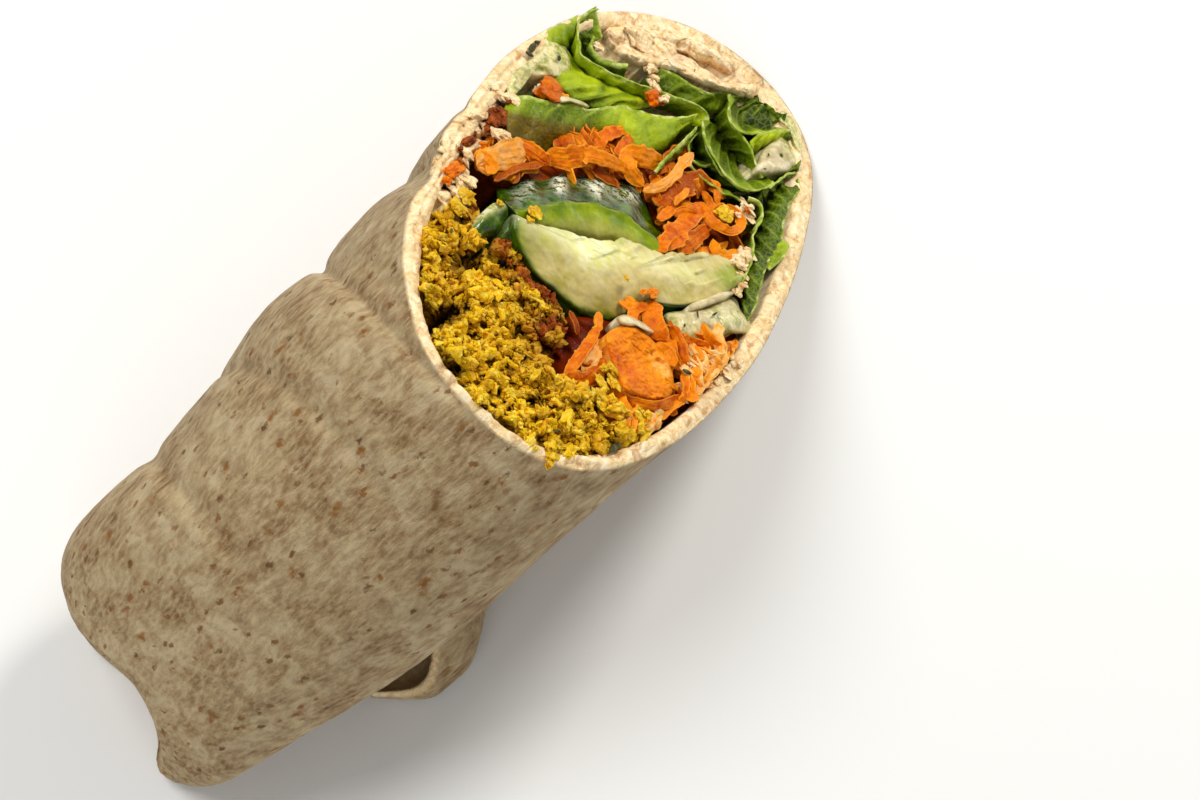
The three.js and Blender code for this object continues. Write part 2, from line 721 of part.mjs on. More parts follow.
// Shreds that show, as [across, down, turn, length, width, lift, bend].
const UPPER_SHREDS = [
  [18.8, -5, 1.4, 9, 4.4, 1.8, 0.5],
  [17.4, -1.5, 0.7, 7, 3, 1.2, -0.6],
  [15.6, 5.6, 1.2, 8, 3.2, 1.0, 0.5],
  [14.2, 10.4, 1.9, 8, 3.6, 1.6, -0.7],
  [12.6, 15.4, 0.9, 9, 3.4, 1.8, 0.6],
  [14.6, 18.6, 1.5, 8, 2.6, 1.4, 0.4],
  [10.4, 19, 0.5, 8, 3.2, 1.6, -0.5],
  [7.6, 26, 1.8, 9, 2.6, 2.4, 0.3],
  [5.8, 20.6, 1.3, 8, 3, 1.2, -0.4],
  [3.6, 26, 1.5, 9, 3, 0.8, 0.6],
  [1.2, 20.4, 1.1, 8, 3.4, 1.6, -0.7],
  [-2.2, 22.6, 1.8, 9, 4, 2.2, 0.6],
  [-4.4, 18.6, 1.4, 7, 3, 1.4, -0.3],
  [-1.6, 29, 0.3, 7, 3, 2.4, 0.9],
  [-5.2, 27, 1.2, 7, 2.6, 1.0, -0.5],
  [-3.6, 32.6, 1.7, 5, 2.4, 1.4, 0.3],
];
const LOWER_SHREDS = [
  [-11.2, 1.4, 1.2, 7, 3.8, 1.2, 0.5],
  [-14.6, -1.6, 0.4, 8, 3.6, 1.8, -0.5],
  [-17.6, -6, 1.3, 10, 5.2, 2.6, 1.2],
  [-21.4, -5.4, 1.7, 11, 3.6, 1.6, 0.6],
  [-13, -9.6, 0.9, 8, 4, 1.4, -0.4],
  [-11.8, -15.6, 1.8, 11, 2.8, 1.6, 0.3],
  [-14.4, -18.6, 1.2, 7, 3, 1.0, 0.5],
  [-17.4, -14, 0.6, 7, 3.2, 1.2, -0.6],
  [-20.4, -10.8, 0.2, 6, 3, 1.0, 0.5],
  [-22.2, 1.4, 1.6, 8, 2.8, 1.2, -0.4],
  [-20.8, 8, 1.5, 7, 2.4, 0.8, 0.3],
];

// ---------------------------------------------------------------- assemble
const group = new THREE.Group();
group.name = 'falafel_wrap';

function add(name, geometry, colour, roughness) {
  geometry.computeVertexNormals();
  const material = new THREE.MeshStandardMaterial({ color: colour, roughness, metalness: 0 });
  const mesh = new THREE.Mesh(geometry, material);
  mesh.name = name;
  group.add(mesh);
}

const tail = filling(TAIL, {
  around: 26,
  steps: [0.4, 0.8, 1],
  middle: [21.6, 44],
  relief: (a, d, share) => 1 + 1.3 * ripple(a * 0.8, d * 0.6, 4) - 1.2 * share ** 4,
});
const wrapped = solidFrom(tortilla()).add(solidFrom(ear())).add(solidFrom(tail));
add('tortilla', geometryFrom(wrapped), 0xd8bd94, 0.8);

const falafelUpper = filling(FALAFEL_UPPER, {
  around: 36,
  steps: [0.3, 0.55, 0.78, 0.93, 1],
  relief: crumbs(2, 1.3),
});
const falafelLower = filling(FALAFEL_LOWER, {
  around: 60,
  steps: [0.2, 0.4, 0.6, 0.8, 0.93, 1],
  middle: [-11, -28],
  relief: crumbs(7, 1.7),
});
add('falafel_upper', falafelUpper, 0xb58a1e, 0.9);
add('falafel_lower', falafelLower, 0xc1941f, 0.9);

const cucumberFront = filling(CUCUMBER_FRONT, {
  around: 38,
  steps: [0.5, 0.9, 1],
  middle: [-2.5, 0],
  relief: sliceFace(0.4, 1.6, 24, -12),
});
const cucumberRear = filling(CUCUMBER_REAR, {
  around: 32,
  steps: [0.4, 0.75, 1],
  middle: [8, 5],
  relief: (a, d, share) => 4.5 - 3.2 * share ** 3,
});
const cucumberSmall = filling(CUCUMBER_SMALL, {
  around: 18,
  steps: [0.5, 1],
  relief: (a, d, share) => 1.8 - 1.4 * share ** 2,
});
add('cucumber_front', cucumberFront, 0xd8d49a, 0.35);
add('cucumber_rear', cucumberRear, 0x4f7a1c, 0.3);
add('cucumber_small', cucumberSmall, 0x3f6a20, 0.3);

add('carrot_upper', heap(CARROT_UPPER, UPPER_SHREDS, [8, 19]), 0xe0730f, 0.5);
add('carrot_lower', heap(CARROT_LOWER, LOWER_SHREDS, [-15.5, -8]), 0xe67d1c, 0.5);

LEAVES.forEach(({ name, line, thick, proudBy, colour }, i) => {
  const columns = Math.max(6, Math.round(line.length * 1.8));
  add(name, leaf(line, { thick, proudBy, seed: i + 1, columns }), colour, 0.5);
});

// Sauce stands up as a bead, and runs only part of the way in.
const bead = (tall) => (a, d, share) => tall * (1 - share ** 3) - 0.6 * share ** 6;
const beadSteps = [0.5, 0.85, 1];
const sauceRight = filling(SAUCE_RIGHT, {
  around: 20,
  steps: beadSteps,
  relief: bead(1.8),
  endX: 0,
});
const sauceLower = filling(SAUCE_LOWER, {
  around: 22,
  steps: beadSteps,
  relief: bead(1.6),
  endX: -20,
});
const sauceLeft = filling(SAUCE_LEFT, {
  around: 24,
  steps: beadSteps,
  middle: [28, 14],
  relief: bead(1.2),
  endX: 0,
});
add('sauce_right', sauceRight, 0xdcd8c4, 0.3);
add('sauce_lower', sauceLower, 0xd2ccb2, 0.3);
add('sauce_left', sauceLeft, 0xd0cba4, 0.35);

// The origin is the middle of the wrap's box, on the table.
const box = new THREE.Box3().setFromObject(group);
const centre = box.getCenter(new THREE.Vector3());
for (const mesh of group.children) mesh.geometry.translate(-centre.x, -centre.y, -box.min.z);

export default group;
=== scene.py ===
"""Half of a falafel wrap on a pale table: the finish of every piece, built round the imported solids."""
import math

import bmesh
import bpy
import numpy as np
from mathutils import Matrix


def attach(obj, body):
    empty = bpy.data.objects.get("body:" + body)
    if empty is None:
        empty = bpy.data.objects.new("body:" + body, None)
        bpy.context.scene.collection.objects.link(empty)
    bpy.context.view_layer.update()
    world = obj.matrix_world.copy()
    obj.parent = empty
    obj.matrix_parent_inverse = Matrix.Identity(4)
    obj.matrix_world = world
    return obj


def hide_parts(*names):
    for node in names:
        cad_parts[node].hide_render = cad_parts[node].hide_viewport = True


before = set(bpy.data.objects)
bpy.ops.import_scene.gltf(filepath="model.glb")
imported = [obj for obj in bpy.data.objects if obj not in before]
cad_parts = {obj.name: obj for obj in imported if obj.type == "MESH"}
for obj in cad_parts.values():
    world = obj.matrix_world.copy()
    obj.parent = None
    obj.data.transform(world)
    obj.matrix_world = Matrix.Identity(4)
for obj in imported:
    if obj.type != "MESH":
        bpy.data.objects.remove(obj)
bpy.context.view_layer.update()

# -------------------- table, light and camera
# The wrap lies on a pale table top. Large soft lights stand round it: the strongest at the cut end,
# a weak one at the closed end. The camera looks steeply down on the cut.
MM = 0.001
WRAP_MIDDLE = (0.0, 0.0, 0.03)


def one_material(thing, material):
    thing.data.materials.clear()
    thing.data.materials.append(material)


TABLE_WIDTH = 6.0
TABLE_COLOUR = (0.86, 0.86, 0.85, 1)
bpy.ops.mesh.primitive_plane_add(size=TABLE_WIDTH, location=(0, 0, 0))
table = bpy.context.object
table.name = "table"
table_paint = bpy.data.materials.new("table")
table_paint.use_nodes = True
table_shader = table_paint.node_tree.nodes["Principled BSDF"]
table_shader.inputs["Base Color"].default_value = TABLE_COLOUR
table_shader.inputs["Roughness"].default_value = 0.6
one_material(table, table_paint)


def soft_light(name, place, size, watts, colour):
    """A round soft light, aimed at the middle of the wrap."""
    lamp = bpy.data.lights.new(name, "AREA")
    lamp.shape = "DISK"
    lamp.size = size
    lamp.energy = watts
    lamp.color = colour
    holder = bpy.data.objects.new(name, lamp)
    bpy.context.scene.collection.objects.link(holder)
    holder.location = place
    away = holder.location - type(holder.location)(WRAP_MIDDLE)
    holder.rotation_euler = away.to_track_quat("Z", "Y").to_euler()


soft_light("key", place=(0.75, 0.12, 0.62), size=0.30, watts=6.2, colour=(1.0, 0.97, 0.91))
soft_light("over", place=(-0.15, 0.5, 0.9), size=0.6, watts=5.4, colour=(1.0, 0.99, 0.97))
soft_light("low_fill", place=(-0.7, -0.5, 0.5), size=0.9, watts=2.4, colour=(0.98, 0.99, 1.0))

ROOM_BRIGHTNESS = 0.28
world = bpy.data.worlds.new("room")
bpy.context.scene.world = world
world.use_nodes = True
world.node_tree.nodes["Background"].inputs["Color"].default_value = (1.0, 1.0, 1.0, 1)
world.node_tree.nodes["Background"].inputs["Strength"].default_value = ROOM_BRIGHTNESS
bpy.context.scene.view_settings.view_transform = "Standard"

# The aim and the distance are in millimetres.
CAMERA_AZIMUTH = math.radians(-42)
CAMERA_HEIGHT = math.radians(72)
CAMERA_AIM = np.array([7.80, -19.24, 36.75])
CAMERA_DISTANCE = 393.0
eye_back = np.array([
    math.sin(CAMERA_AZIMUTH) * math.cos(CAMERA_HEIGHT),
    -math.cos(CAMERA_AZIMUTH) * math.cos(CAMERA_HEIGHT),
    math.sin(CAMERA_HEIGHT),
])
camera = bpy.data.objects.new("camera", bpy.data.cameras.new("camera"))
camera.data.lens = 85
camera.data.sensor_width = 36
camera.data.clip_start = 0.01
camera.location = (CAMERA_AIM + eye_back * CAMERA_DISTANCE) * MM
camera.rotation_euler = (math.pi / 2 - CAMERA_HEIGHT, 0, CAMERA_AZIMUTH)
bpy.context.scene.collection.objects.link(camera)
bpy.context.scene.camera = camera

# -------------------- tortilla
# A soft whole wheat flatbread, rolled round the fillings, folded in at one end and cut across on a
# slant. Its skin is floury and specked with bran; where it is cut or torn the crumb is pale.
# Sizes are in millimetres, in the roll's own axes: x along it toward the cut, z up from the table.
ROLL_TO_FRAME = np.array([1.895, 0.130, 0.0])
# The roll's oval section at five stations: its two half sizes, its middle, and how far it leans over.
STATION_X = np.array([-68, -36, 6, 48, 76.0])
HALF_TALL = np.array([18, 27, 37.4, 48.5, 48.5])
HALF_THIN = np.array([20, 24.1, 26.2, 30.8, 33.6])
MIDDLE_Y = np.array([0.4, -3, -2.4, -3.8, -6.2])
LEAN = math.radians(23.6)
SQUARENESS = 2.2
# The closed end is folded in and pressed flat.
FOLDED_END_X = -71.7
FOLD_FROM_X = -42
FOLD_HEIGHT = 0.3
FOLD_ROUNDNESS = 2.4
CORNER_RADIUS = 8
# The roll is pressed down on the table, least where it widens to the cut.
SINK = 3
SINK_FADES_X = (18, 58)
SINK_FADES_HEIGHT = 20
# The cut is a slanted plane: past its middle, x grows with y and falls with z.
CUT_MIDDLE = np.array([19.8, -3.2, 36.75])
CUT_PER_Y = 0.309
CUT_PER_Z = 1.251
# The wall's thickness round the roll, as (degrees, millimetres): thin over one turn, thick over two.
WALL = np.array([
    [0, 3.4], [30, 3.1], [60, 2.1], [75, 1.8], [110, 1.9], [150, 2.5], [180, 2.8], [210, 2.9], [240, 2.8],
    [275, 3.2], [298, 2.9], [312, 2.2], [325, 2.8], [340, 3.3], [360, 3.4],
])
# Broad dents pressed into one side, as (place along the roll, depth, half width).
CREASES = ((-44, 1.1, 7), (-20, -1.4, 7), (-9.5, 0.8, 3), (7, 1.5, 3.5))
CREASED_SIDE = 0.25
# Sharp pleats in the dents, as (place along the roll, slant, half width, depth).
PLEATS = (
    (-9.5, -0.12, 1.1, 0.9), (6.6, 0.22, 1.3, 1), (-31, 0.16, 1.2, 0.6), (-45, -0.1, 1.6, 0.6),
    (22, -0.2, 1.2, 0.4),
)
PLEATED_SIDE = 0.35
FILLING_END_X = -40
LEAST_FLOOR = 1.7


def smooth(value, low, high):
    """Rises softly from 0 at low to 1 at high."""
    t = np.clip((value - low) / (high - low), 0, 1)
    return t * t * (3 - 2 * t)


# How far past a curve's ends it may be read, in shares of its last step.
OVERRUN = 0.2


def through(stations, values, at):
    """A smooth curve through values at stations."""
    i = np.clip(np.searchsorted(stations, at) - 1, 0, len(stations) - 2)
    slope = np.empty(len(stations))
    slope[1:-1] = (values[2:] - values[:-2]) / (stations[2:] - stations[:-2])
    slope[0] = (values[1] - values[0]) / (stations[1] - stations[0])
    slope[-1] = (values[-1] - values[-2]) / (stations[-1] - stations[-2])
    span = stations[i + 1] - stations[i]
    t = np.clip((at - stations[i]) / span, -OVERRUN, 1 + OVERRUN)
    rise = values[i + 1] - values[i]
    bend = (1 - t) * (slope[i] * span - rise) - t * (slope[i + 1] * span - rise)
    return values[i] + rise * t + t * (1 - t) * bend


def unit(vector):
    return vector / np.linalg.norm(vector)


# Three ways on the cut face: straight out of it, across it, and down it.
NORMAL = unit(np.array([1, -CUT_PER_Y, CUT_PER_Z]))
ACROSS = unit(np.array([0, 1, 0]) - NORMAL * NORMAL[1])
DOWN = np.cross(ACROSS, NORMAL)


def sink(x):
    return SINK * (1 - smooth(x, *SINK_FADES_X))


def middle_height(tall, thin):
    """How high a leaning oval's middle stands when the oval touches the table."""
    power = SQUARENESS / (SQUARENESS - 1)
    return (np.abs(tall * math.cos(LEAN)) ** power + np.abs(thin * math.sin(LEAN)) ** power) ** (1 / power)


def lean(across, up):
    return (across * math.cos(LEAN) - up * math.sin(LEAN),
            across * math.sin(LEAN) + up * math.cos(LEAN))


def on_oval(angle, tall, thin):
    flat_way, tall_way = np.cos(angle), np.sin(angle)
    reach = (np.abs(flat_way) ** SQUARENESS + np.abs(tall_way) ** SQUARENESS) ** (-1 / SQUARENESS)
    return lean(thin * reach * flat_way, tall * reach * tall_way)


def section_at(x):
    """The oval section at x: half its height, half its width, and where its middle lies."""
    return [through(STATION_X, sizes, x) for sizes in (HALF_TALL, HALF_THIN, MIDDLE_Y)]


def outer_point(x, angle, inset=0):
    """A point of the skin, at this angle round the roll."""
    tall, thin, y = section_at(x)
    dent = sum(deep * np.exp(-((x - at) / wide) ** 2) for at, deep, wide in CREASES)
    dent = dent * np.maximum(0, np.cos(angle - CREASED_SIDE)) ** 2
    across, up = on_oval(angle, tall - dent, thin - dent)
    folded = np.clip((FOLD_FROM_X - x) / (FOLD_FROM_X - FOLDED_END_X), 0, 1)
    kept = FOLD_HEIGHT + (1 - FOLD_HEIGHT) * np.sqrt(1 - folded ** FOLD_ROUNDNESS)
    height = (middle_height(tall, thin) + up - sink(x)) * kept
    return np.stack(np.broadcast_arrays(x, y + across * (1 - inset / thin), np.maximum(height, 0)), -1)


def wall_thickness(angle):
    return through(WALL[:, 0], WALL[:, 1], np.degrees(angle) % 360)


def inner_point(x, angle):
    """A point of the wall's inner face, at this angle round the roll."""
    tall, thin, y = section_at(x)
    thick = wall_thickness(angle)
    across, up = on_oval(angle, tall - thick, thin - thick)
    height = middle_height(tall, thin) + up
    height = height - sink(x) * np.clip(height / SINK_FADES_HEIGHT, 0, 1)
    return np.stack(np.broadcast_arrays(x, y + across, np.maximum(height, LEAST_FLOOR)), -1)


def past_cut(p):
    """How far a point lies beyond the slanted cut, along the roll."""
    return p[..., 0] - (CUT_MIDDLE[0] + CUT_PER_Y * (p[..., 1] - CUT_MIDDLE[1])
                        - CUT_PER_Z * (p[..., 2] - CUT_MIDDLE[2]))


ROLL_SPAN = (-60.0, 90.0)
HALVINGS = 30


def at_cut(point_at, angle):
    """Where the line of points at this angle meets the cut, found by halving the span."""
    low = np.full(angle.shape, ROLL_SPAN[0])
    high = np.full(angle.shape, ROLL_SPAN[1])
    for _ in range(HALVINGS):
        x = (low + high) / 2
        beyond = past_cut(point_at(x, angle)) > 0
        high = np.where(beyond, x, high)
        low = np.where(beyond, low, x)
    return (low + high) / 2


# What is uneven by chance comes from whole numbers, stirred by large factors, so it never changes.
CELL_FACTORS = (374761393, 668265263, 1440670441)
SEED_FACTOR = 974634
STIR_FACTOR = 1274126177


def chance(cell, seed):
    """A repeatable number from -1 to 1 for each whole-numbered cell."""
    stirred = sum(cell[..., k] * factor for k, factor in enumerate(CELL_FACTORS)) + seed * SEED_FACTOR
    stirred = (stirred ^ (stirred >> 13)) * STIR_FACTOR & 0xFFFFFFFF
    return ((stirred ^ (stirred >> 16)) & 0xFFFF) / 32767.5 - 1


# Each seed shifts the waves by this many swells.
SEED_SHIFT = 7.31


def waves(p, size, seed):
    """Smooth uneven relief from -1 to 1 with swells of this size."""
    scaled = np.asarray(p) / size + seed * SEED_SHIFT
    cell = np.floor(scaled).astype(np.int64)
    inside = scaled - cell
    inside = inside * inside * (3 - 2 * inside)
    total = 0
    for corner in np.ndindex(2, 2, 2):
        share = np.prod(np.where(corner, inside, 1 - inside), axis=-1)
        total = total + share * chance(cell + np.array(corner), seed)
    return total


def uneven(p, *layers):
    """Waves of several sizes added up, each layer given as (height, size, seed)."""
    return sum(height * waves(p, size, seed) for height, size, seed in layers)


def sideways(p, size, seed):
    return np.stack([waves(p, size, seed), waves(p, size, seed + 1), 0 * p[..., 0]], -1)


def drifted(p, amount, size, seed):
    """Points moved sideways by uneven amounts, so that what is worked out on them wanders."""
    return p + amount * sideways(p, size, seed)


def crumb_cells(p, size, seed, shift, spread):
    """For each cell round a point: its number, and the way and distance from its crumb's middle."""
    scaled = np.asarray(p) / size + seed * shift
    cell = np.floor(scaled).astype(np.int64)
    for step in np.ndindex(3, 3, 3):
        other = cell + np.array(step) - 1
        middle = other + 0.5 + spread * np.stack([chance(other, seed + k) for k in (1, 2, 3)], -1)
        away = scaled - middle
        yield other, away, np.linalg.norm(away, axis=-1)


FAR = 9.0


def lumps(p, size, seed):
    """Rounded crumbs of this size: 1 at the top of a crumb, about 0 in the gaps, and each crumb's number."""
    nearest, number = np.full(p.shape[:-1], FAR), np.zeros(p.shape[:-1])
    for other, away, gap in crumb_cells(p, size, seed, shift=3.17, spread=0.45):
        number = np.where(gap < nearest, chance(other, seed + 4), number)
        nearest = np.minimum(gap, nearest)
    return np.clip(1 - nearest, 0, 1), number


CRUMB_TILT = 1.3
CRUMB_GAP = 0.22


def chunks(p, size, seed):
    """Broken crumbs of this size: how high each place stands on its tilted crumb, and how near a gap is."""
    nearest, second = np.full(p.shape[:-1], FAR), np.full(p.shape[:-1], FAR)
    height = np.zeros(p.shape[:-1])
    for other, away, gap in crumb_cells(p, size, seed, shift=5.23, spread=0.46):
        tilt = np.stack([chance(other, seed + k) for k in (5, 6, 7)], -1)
        stands = chance(other, seed + 4) + CRUMB_TILT * np.sum(tilt * away, -1)
        second = np.where(gap < nearest, nearest, np.minimum(second, gap))
        height = np.where(gap < nearest, stands, height)
        nearest = np.minimum(gap, nearest)
    return height, 1 - smooth(second - nearest, 0, CRUMB_GAP)


def keep(name, mesh, material, slot, *nodes):
    thing = bpy.data.objects.new(name, mesh)
    bpy.context.scene.collection.objects.link(thing)
    one_material(thing, material)
    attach(thing, "root")
    if nodes:
        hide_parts(*nodes)
    return thing


class Shape:
    """Gathers closed grids of points into one piece. Marks are values that its material reads."""

    def __init__(self):
        self.points, self.faces, self.marks, self.count = [], [], {}, 0

    def grid(self, points, **marks):
        """A tube of rows of points, closed round and at both ends."""
        rows, columns = points.shape[:2]
        number = np.arange(rows * columns).reshape(rows, columns) + self.count
        beside = np.roll(number, -1, 1)
        corners = number[:-1], beside[:-1], beside[1:], number[1:]
        self.faces += np.stack(corners, -1).reshape(-1, 4).tolist()
        self.faces += [number[0][::-1].tolist(), number[-1].tolist()]
        self.points.append(points.reshape(-1, 3))
        for name in {**self.marks, **marks}:
            known = self.marks.setdefault(name, [np.zeros(self.count)] if self.count else [])
            values = np.asarray(marks.get(name, 0.0), float)
            known.append(np.broadcast_to(values, (rows, columns)).reshape(-1).copy())
        self.count += rows * columns

    def sheet(self, front, back, **marks):
        """A thin sheet from its two faces, each mark given as (on the front, on the back)."""
        shape = front.shape[:2]
        both = {
            name: np.concatenate([np.broadcast_to(on_front, shape), np.broadcast_to(on_back, shape)[:, ::-1]],
                                 1)
            for name, (on_front, on_back) in marks.items()
        }
        self.grid(np.concatenate([front, back[:, ::-1]], 1), **both)

    def piece(self, name, material, slot, *nodes, flat=False):
        """Makes the mesh, in metres in the frame's axes, and keeps it."""
        mesh = bpy.data.meshes.new(name)
        place = np.concatenate(self.points) + ROLL_TO_FRAME
        place[:, 2] = np.maximum(place[:, 2], 0)
        place = place * MM
        mesh.from_pydata(place.tolist(), [], self.faces)
        for mark_name, values in self.marks.items():
            layer = mesh.attributes.new(mark_name, "FLOAT", "POINT")
            layer.data.foreach_set("value", np.concatenate(values))
        mesh.polygons.foreach_set("use_smooth", np.full(len(mesh.polygons), not flat))
        mesh.update()
        return keep(name, mesh, material, slot, *nodes)


LEAST_LENGTH = 1e-9


def push_out(points, amount):
    """Moves each point of a closed grid along its own surface normal."""
    along = np.gradient(points, axis=0)
    around = (np.roll(points, -1, 1) - np.roll(points, 1, 1)) / 2
    normal = np.cross(around, along)
    normal /= np.maximum(np.linalg.norm(normal, axis=-1, keepdims=True), LEAST_LENGTH)
    return points + normal * amount[..., None]


def add_node(tree, kind, sockets=None, **settings):
    """Adds a node. A shader node goes by its short name. A socket is linked to another node's output, or
    set to a value."""
    new = tree.nodes.new(kind if "Node" in kind else "ShaderNode" + kind)
    for name, value in settings.items():
        setattr(new, name, value)
    for name, value in (sockets or {}).items():
        socket = new.inputs[name]
        if isinstance(value, bpy.types.NodeSocket):
            tree.links.new(value, socket)
        elif isinstance(value, tuple) and len(value) == 3 and socket.type == "RGBA":
            socket.default_value = (*value, 1)
        else:
            socket.default_value = value
    return new


def srgb(red, green, blue):
    """A colour given as it looks, from 0 to 255, in the linear values that a shader wants."""
    return tuple(((c / 255 + 0.055) / 1.055) ** 2.4 if c > 10 else c / 255 / 12.92
                 for c in (red, green, blue))


def ramp(factor, *stops):
    """A colour ramp through stops, each given as (place, grey) or (place, red, green, blue)."""
    new = add_node(factor.id_data, "ValToRGB", {"Fac": factor})
    elements = new.color_ramp.elements
    while len(elements) < len(stops):
        elements.new(0.5)
    for element, (place, *colour) in zip(elements, stops):
        element.position = place
        element.color = (*(srgb(*colour) if len(colour) == 3 else colour * 3), 1)
    return new.outputs["Color"]


MIX_FACTOR, MIX_LOW, MIX_HIGH, MIX_RESULT = 0, 6, 7, 2


def mix(factor, low, high):
    """One colour passing into another; each is another node's output or (red, green, blue)."""
    owner = next(v for v in (factor, low, high) if isinstance(v, bpy.types.NodeSocket)).id_data
    colours = {MIX_FACTOR: factor}
    for number, colour in ((MIX_LOW, low), (MIX_HIGH, high)):
        colours[number] = srgb(*colour) if isinstance(colour, tuple) else colour
    return add_node(owner, "Mix", colours, data_type="RGBA").outputs[MIX_RESULT]


def times(value, other):
    """Two masks multiplied, or one made weaker by a number."""
    new = add_node(value.id_data, "Mix", {MIX_FACTOR: 1.0, MIX_LOW: value}, data_type="RGBA",
                   blend_type="MULTIPLY")
    if isinstance(other, float):
        new.inputs[MIX_HIGH].default_value = (other, other, other, 1)
    else:
        value.id_data.links.new(other, new.inputs[MIX_HIGH])
    return new.outputs[MIX_RESULT]


def noise(place, size, detail=4.0, rough=0.55, twist=0.0):
    """Noise with patches of about this many millimetres."""
    return add_node(place.id_data, "TexNoise", {"Vector": place, "Scale": 1000 / size, "Detail": detail,
                                                "Roughness": rough, "Distortion": twist}).outputs["Fac"]


def new_material(name, roughness, **sockets):
    material = bpy.data.materials.new(name)
    material.use_nodes = True
    tree = material.node_tree
    shader = tree.nodes["Principled BSDF"]
    shader.inputs["Roughness"].default_value = roughness
    for socket, value in sockets.items():
        shader.inputs[socket.replace("_", " ")].default_value = value
    place = tree.nodes.new("ShaderNodeTexCoord").outputs["Object"]
    return material, shader, place


def finish_surface(shader, colour, height, depth, strength=1.0):
    """Gives a material its colour, and raises the surface by up to depth millimetres where height is 1."""
    tree = shader.id_data
    tree.links.new(colour, shader.inputs["Base Color"])
    raised = add_node(tree, "Bump", {"Height": height, "Distance": depth * MM, "Strength": strength})
    tree.links.new(raised.outputs["Normal"], shader.inputs["Normal"])


def mark(place, name):
    """The values that a piece's mark carries."""
    return add_node(place.id_data, "Attribute", attribute_name=name).outputs["Fac"]


def new_group(name, tree_kind, output, output_kind, **inputs):
    """A node group with one output. Its inputs are named, each with its kind."""
    group = bpy.data.node_groups.new(name, tree_kind)
    for label, kind in inputs.items():
        group.interface.new_socket(label, in_out="INPUT", socket_type="NodeSocket" + kind)
    group.interface.new_socket(output, in_out="OUTPUT", socket_type="NodeSocket" + output_kind)
    return group, group.nodes.new("NodeGroupInput").outputs, group.nodes.new("NodeGroupOutput").inputs[0]


def fibres_group():
    """Noise drawn out one way, as fibres run through bread, flesh and root."""
    group, given, result = new_group(
        "fibres", "ShaderNodeTree", "Fibres", "Float", Place="Vector", Turn="Vector", Stretch="Vector",
        Fineness="Float", Detail="Float", Roughness="Float", Twist="Float")
    drawn = add_node(group, "Mapping", {"Vector": given["Place"], "Rotation": given["Turn"],
                                        "Scale": given["Stretch"]})
    threads = add_node(group, "TexNoise", {
        "Vector": drawn.outputs["Vector"], "Scale": given["Fineness"], "Detail": given["Detail"],
        "Roughness": given["Roughness"], "Distortion": given["Twist"]})
    group.links.new(threads.outputs["Fac"], result)
    return group


def flecks_group():
    """Flecks scattered in a surface: full up to one distance from their middles, gone beyond another. Each
    cell has a fleck by chance, read from the colour that Channel picks."""
    group, given, result = new_group(
        "flecks", "ShaderNodeTree", "Flecks", "Float", Place="Vector", Density="Float", Full="Float",
        Gone="Float", Channel="Vector", Never="Float", Always="Float", Strength="Float")
    cells = add_node(group, "TexVoronoi", {"Vector": given["Place"], "Scale": given["Density"],
                                           "Randomness": 1.0})
    spot = add_node(group, "MapRange", {
        "Value": cells.outputs["Distance"], "From Min": given["Full"], "From Max": given["Gone"],
        "To Min": 1.0, "To Max": 0.0})
    lot = add_node(group, "VectorMath", {0: cells.outputs["Color"], 1: given["Channel"]},
                   operation="DOT_PRODUCT")
    chosen = add_node(group, "MapRange", {
        "Value": lot.outputs["Value"], "From Min": given["Never"], "From Max": given["Always"],
        "To Min": 0.0, "To Max": given["Strength"]})
    flecks = add_node(group, "Math", {0: spot.outputs["Result"], 1: chosen.outputs["Result"]},
                      operation="MULTIPLY")
    group.links.new(flecks.outputs["Value"], result)
    return group


FIBRES, FLECKS = fibres_group(), flecks_group()
RED, GREEN = (1.0, 0.0, 0.0), (0.0, 1.0, 0.0)


def grouped(group, **values):
    """A node group placed in a material with its own values."""
    return add_node(values["Place"].id_data, "Group", values, node_tree=group).outputs[0]


SKIN_GRAIN_TURN = (0.0, 0.2, 0.5)
FLECK_WANDER = 0.0016


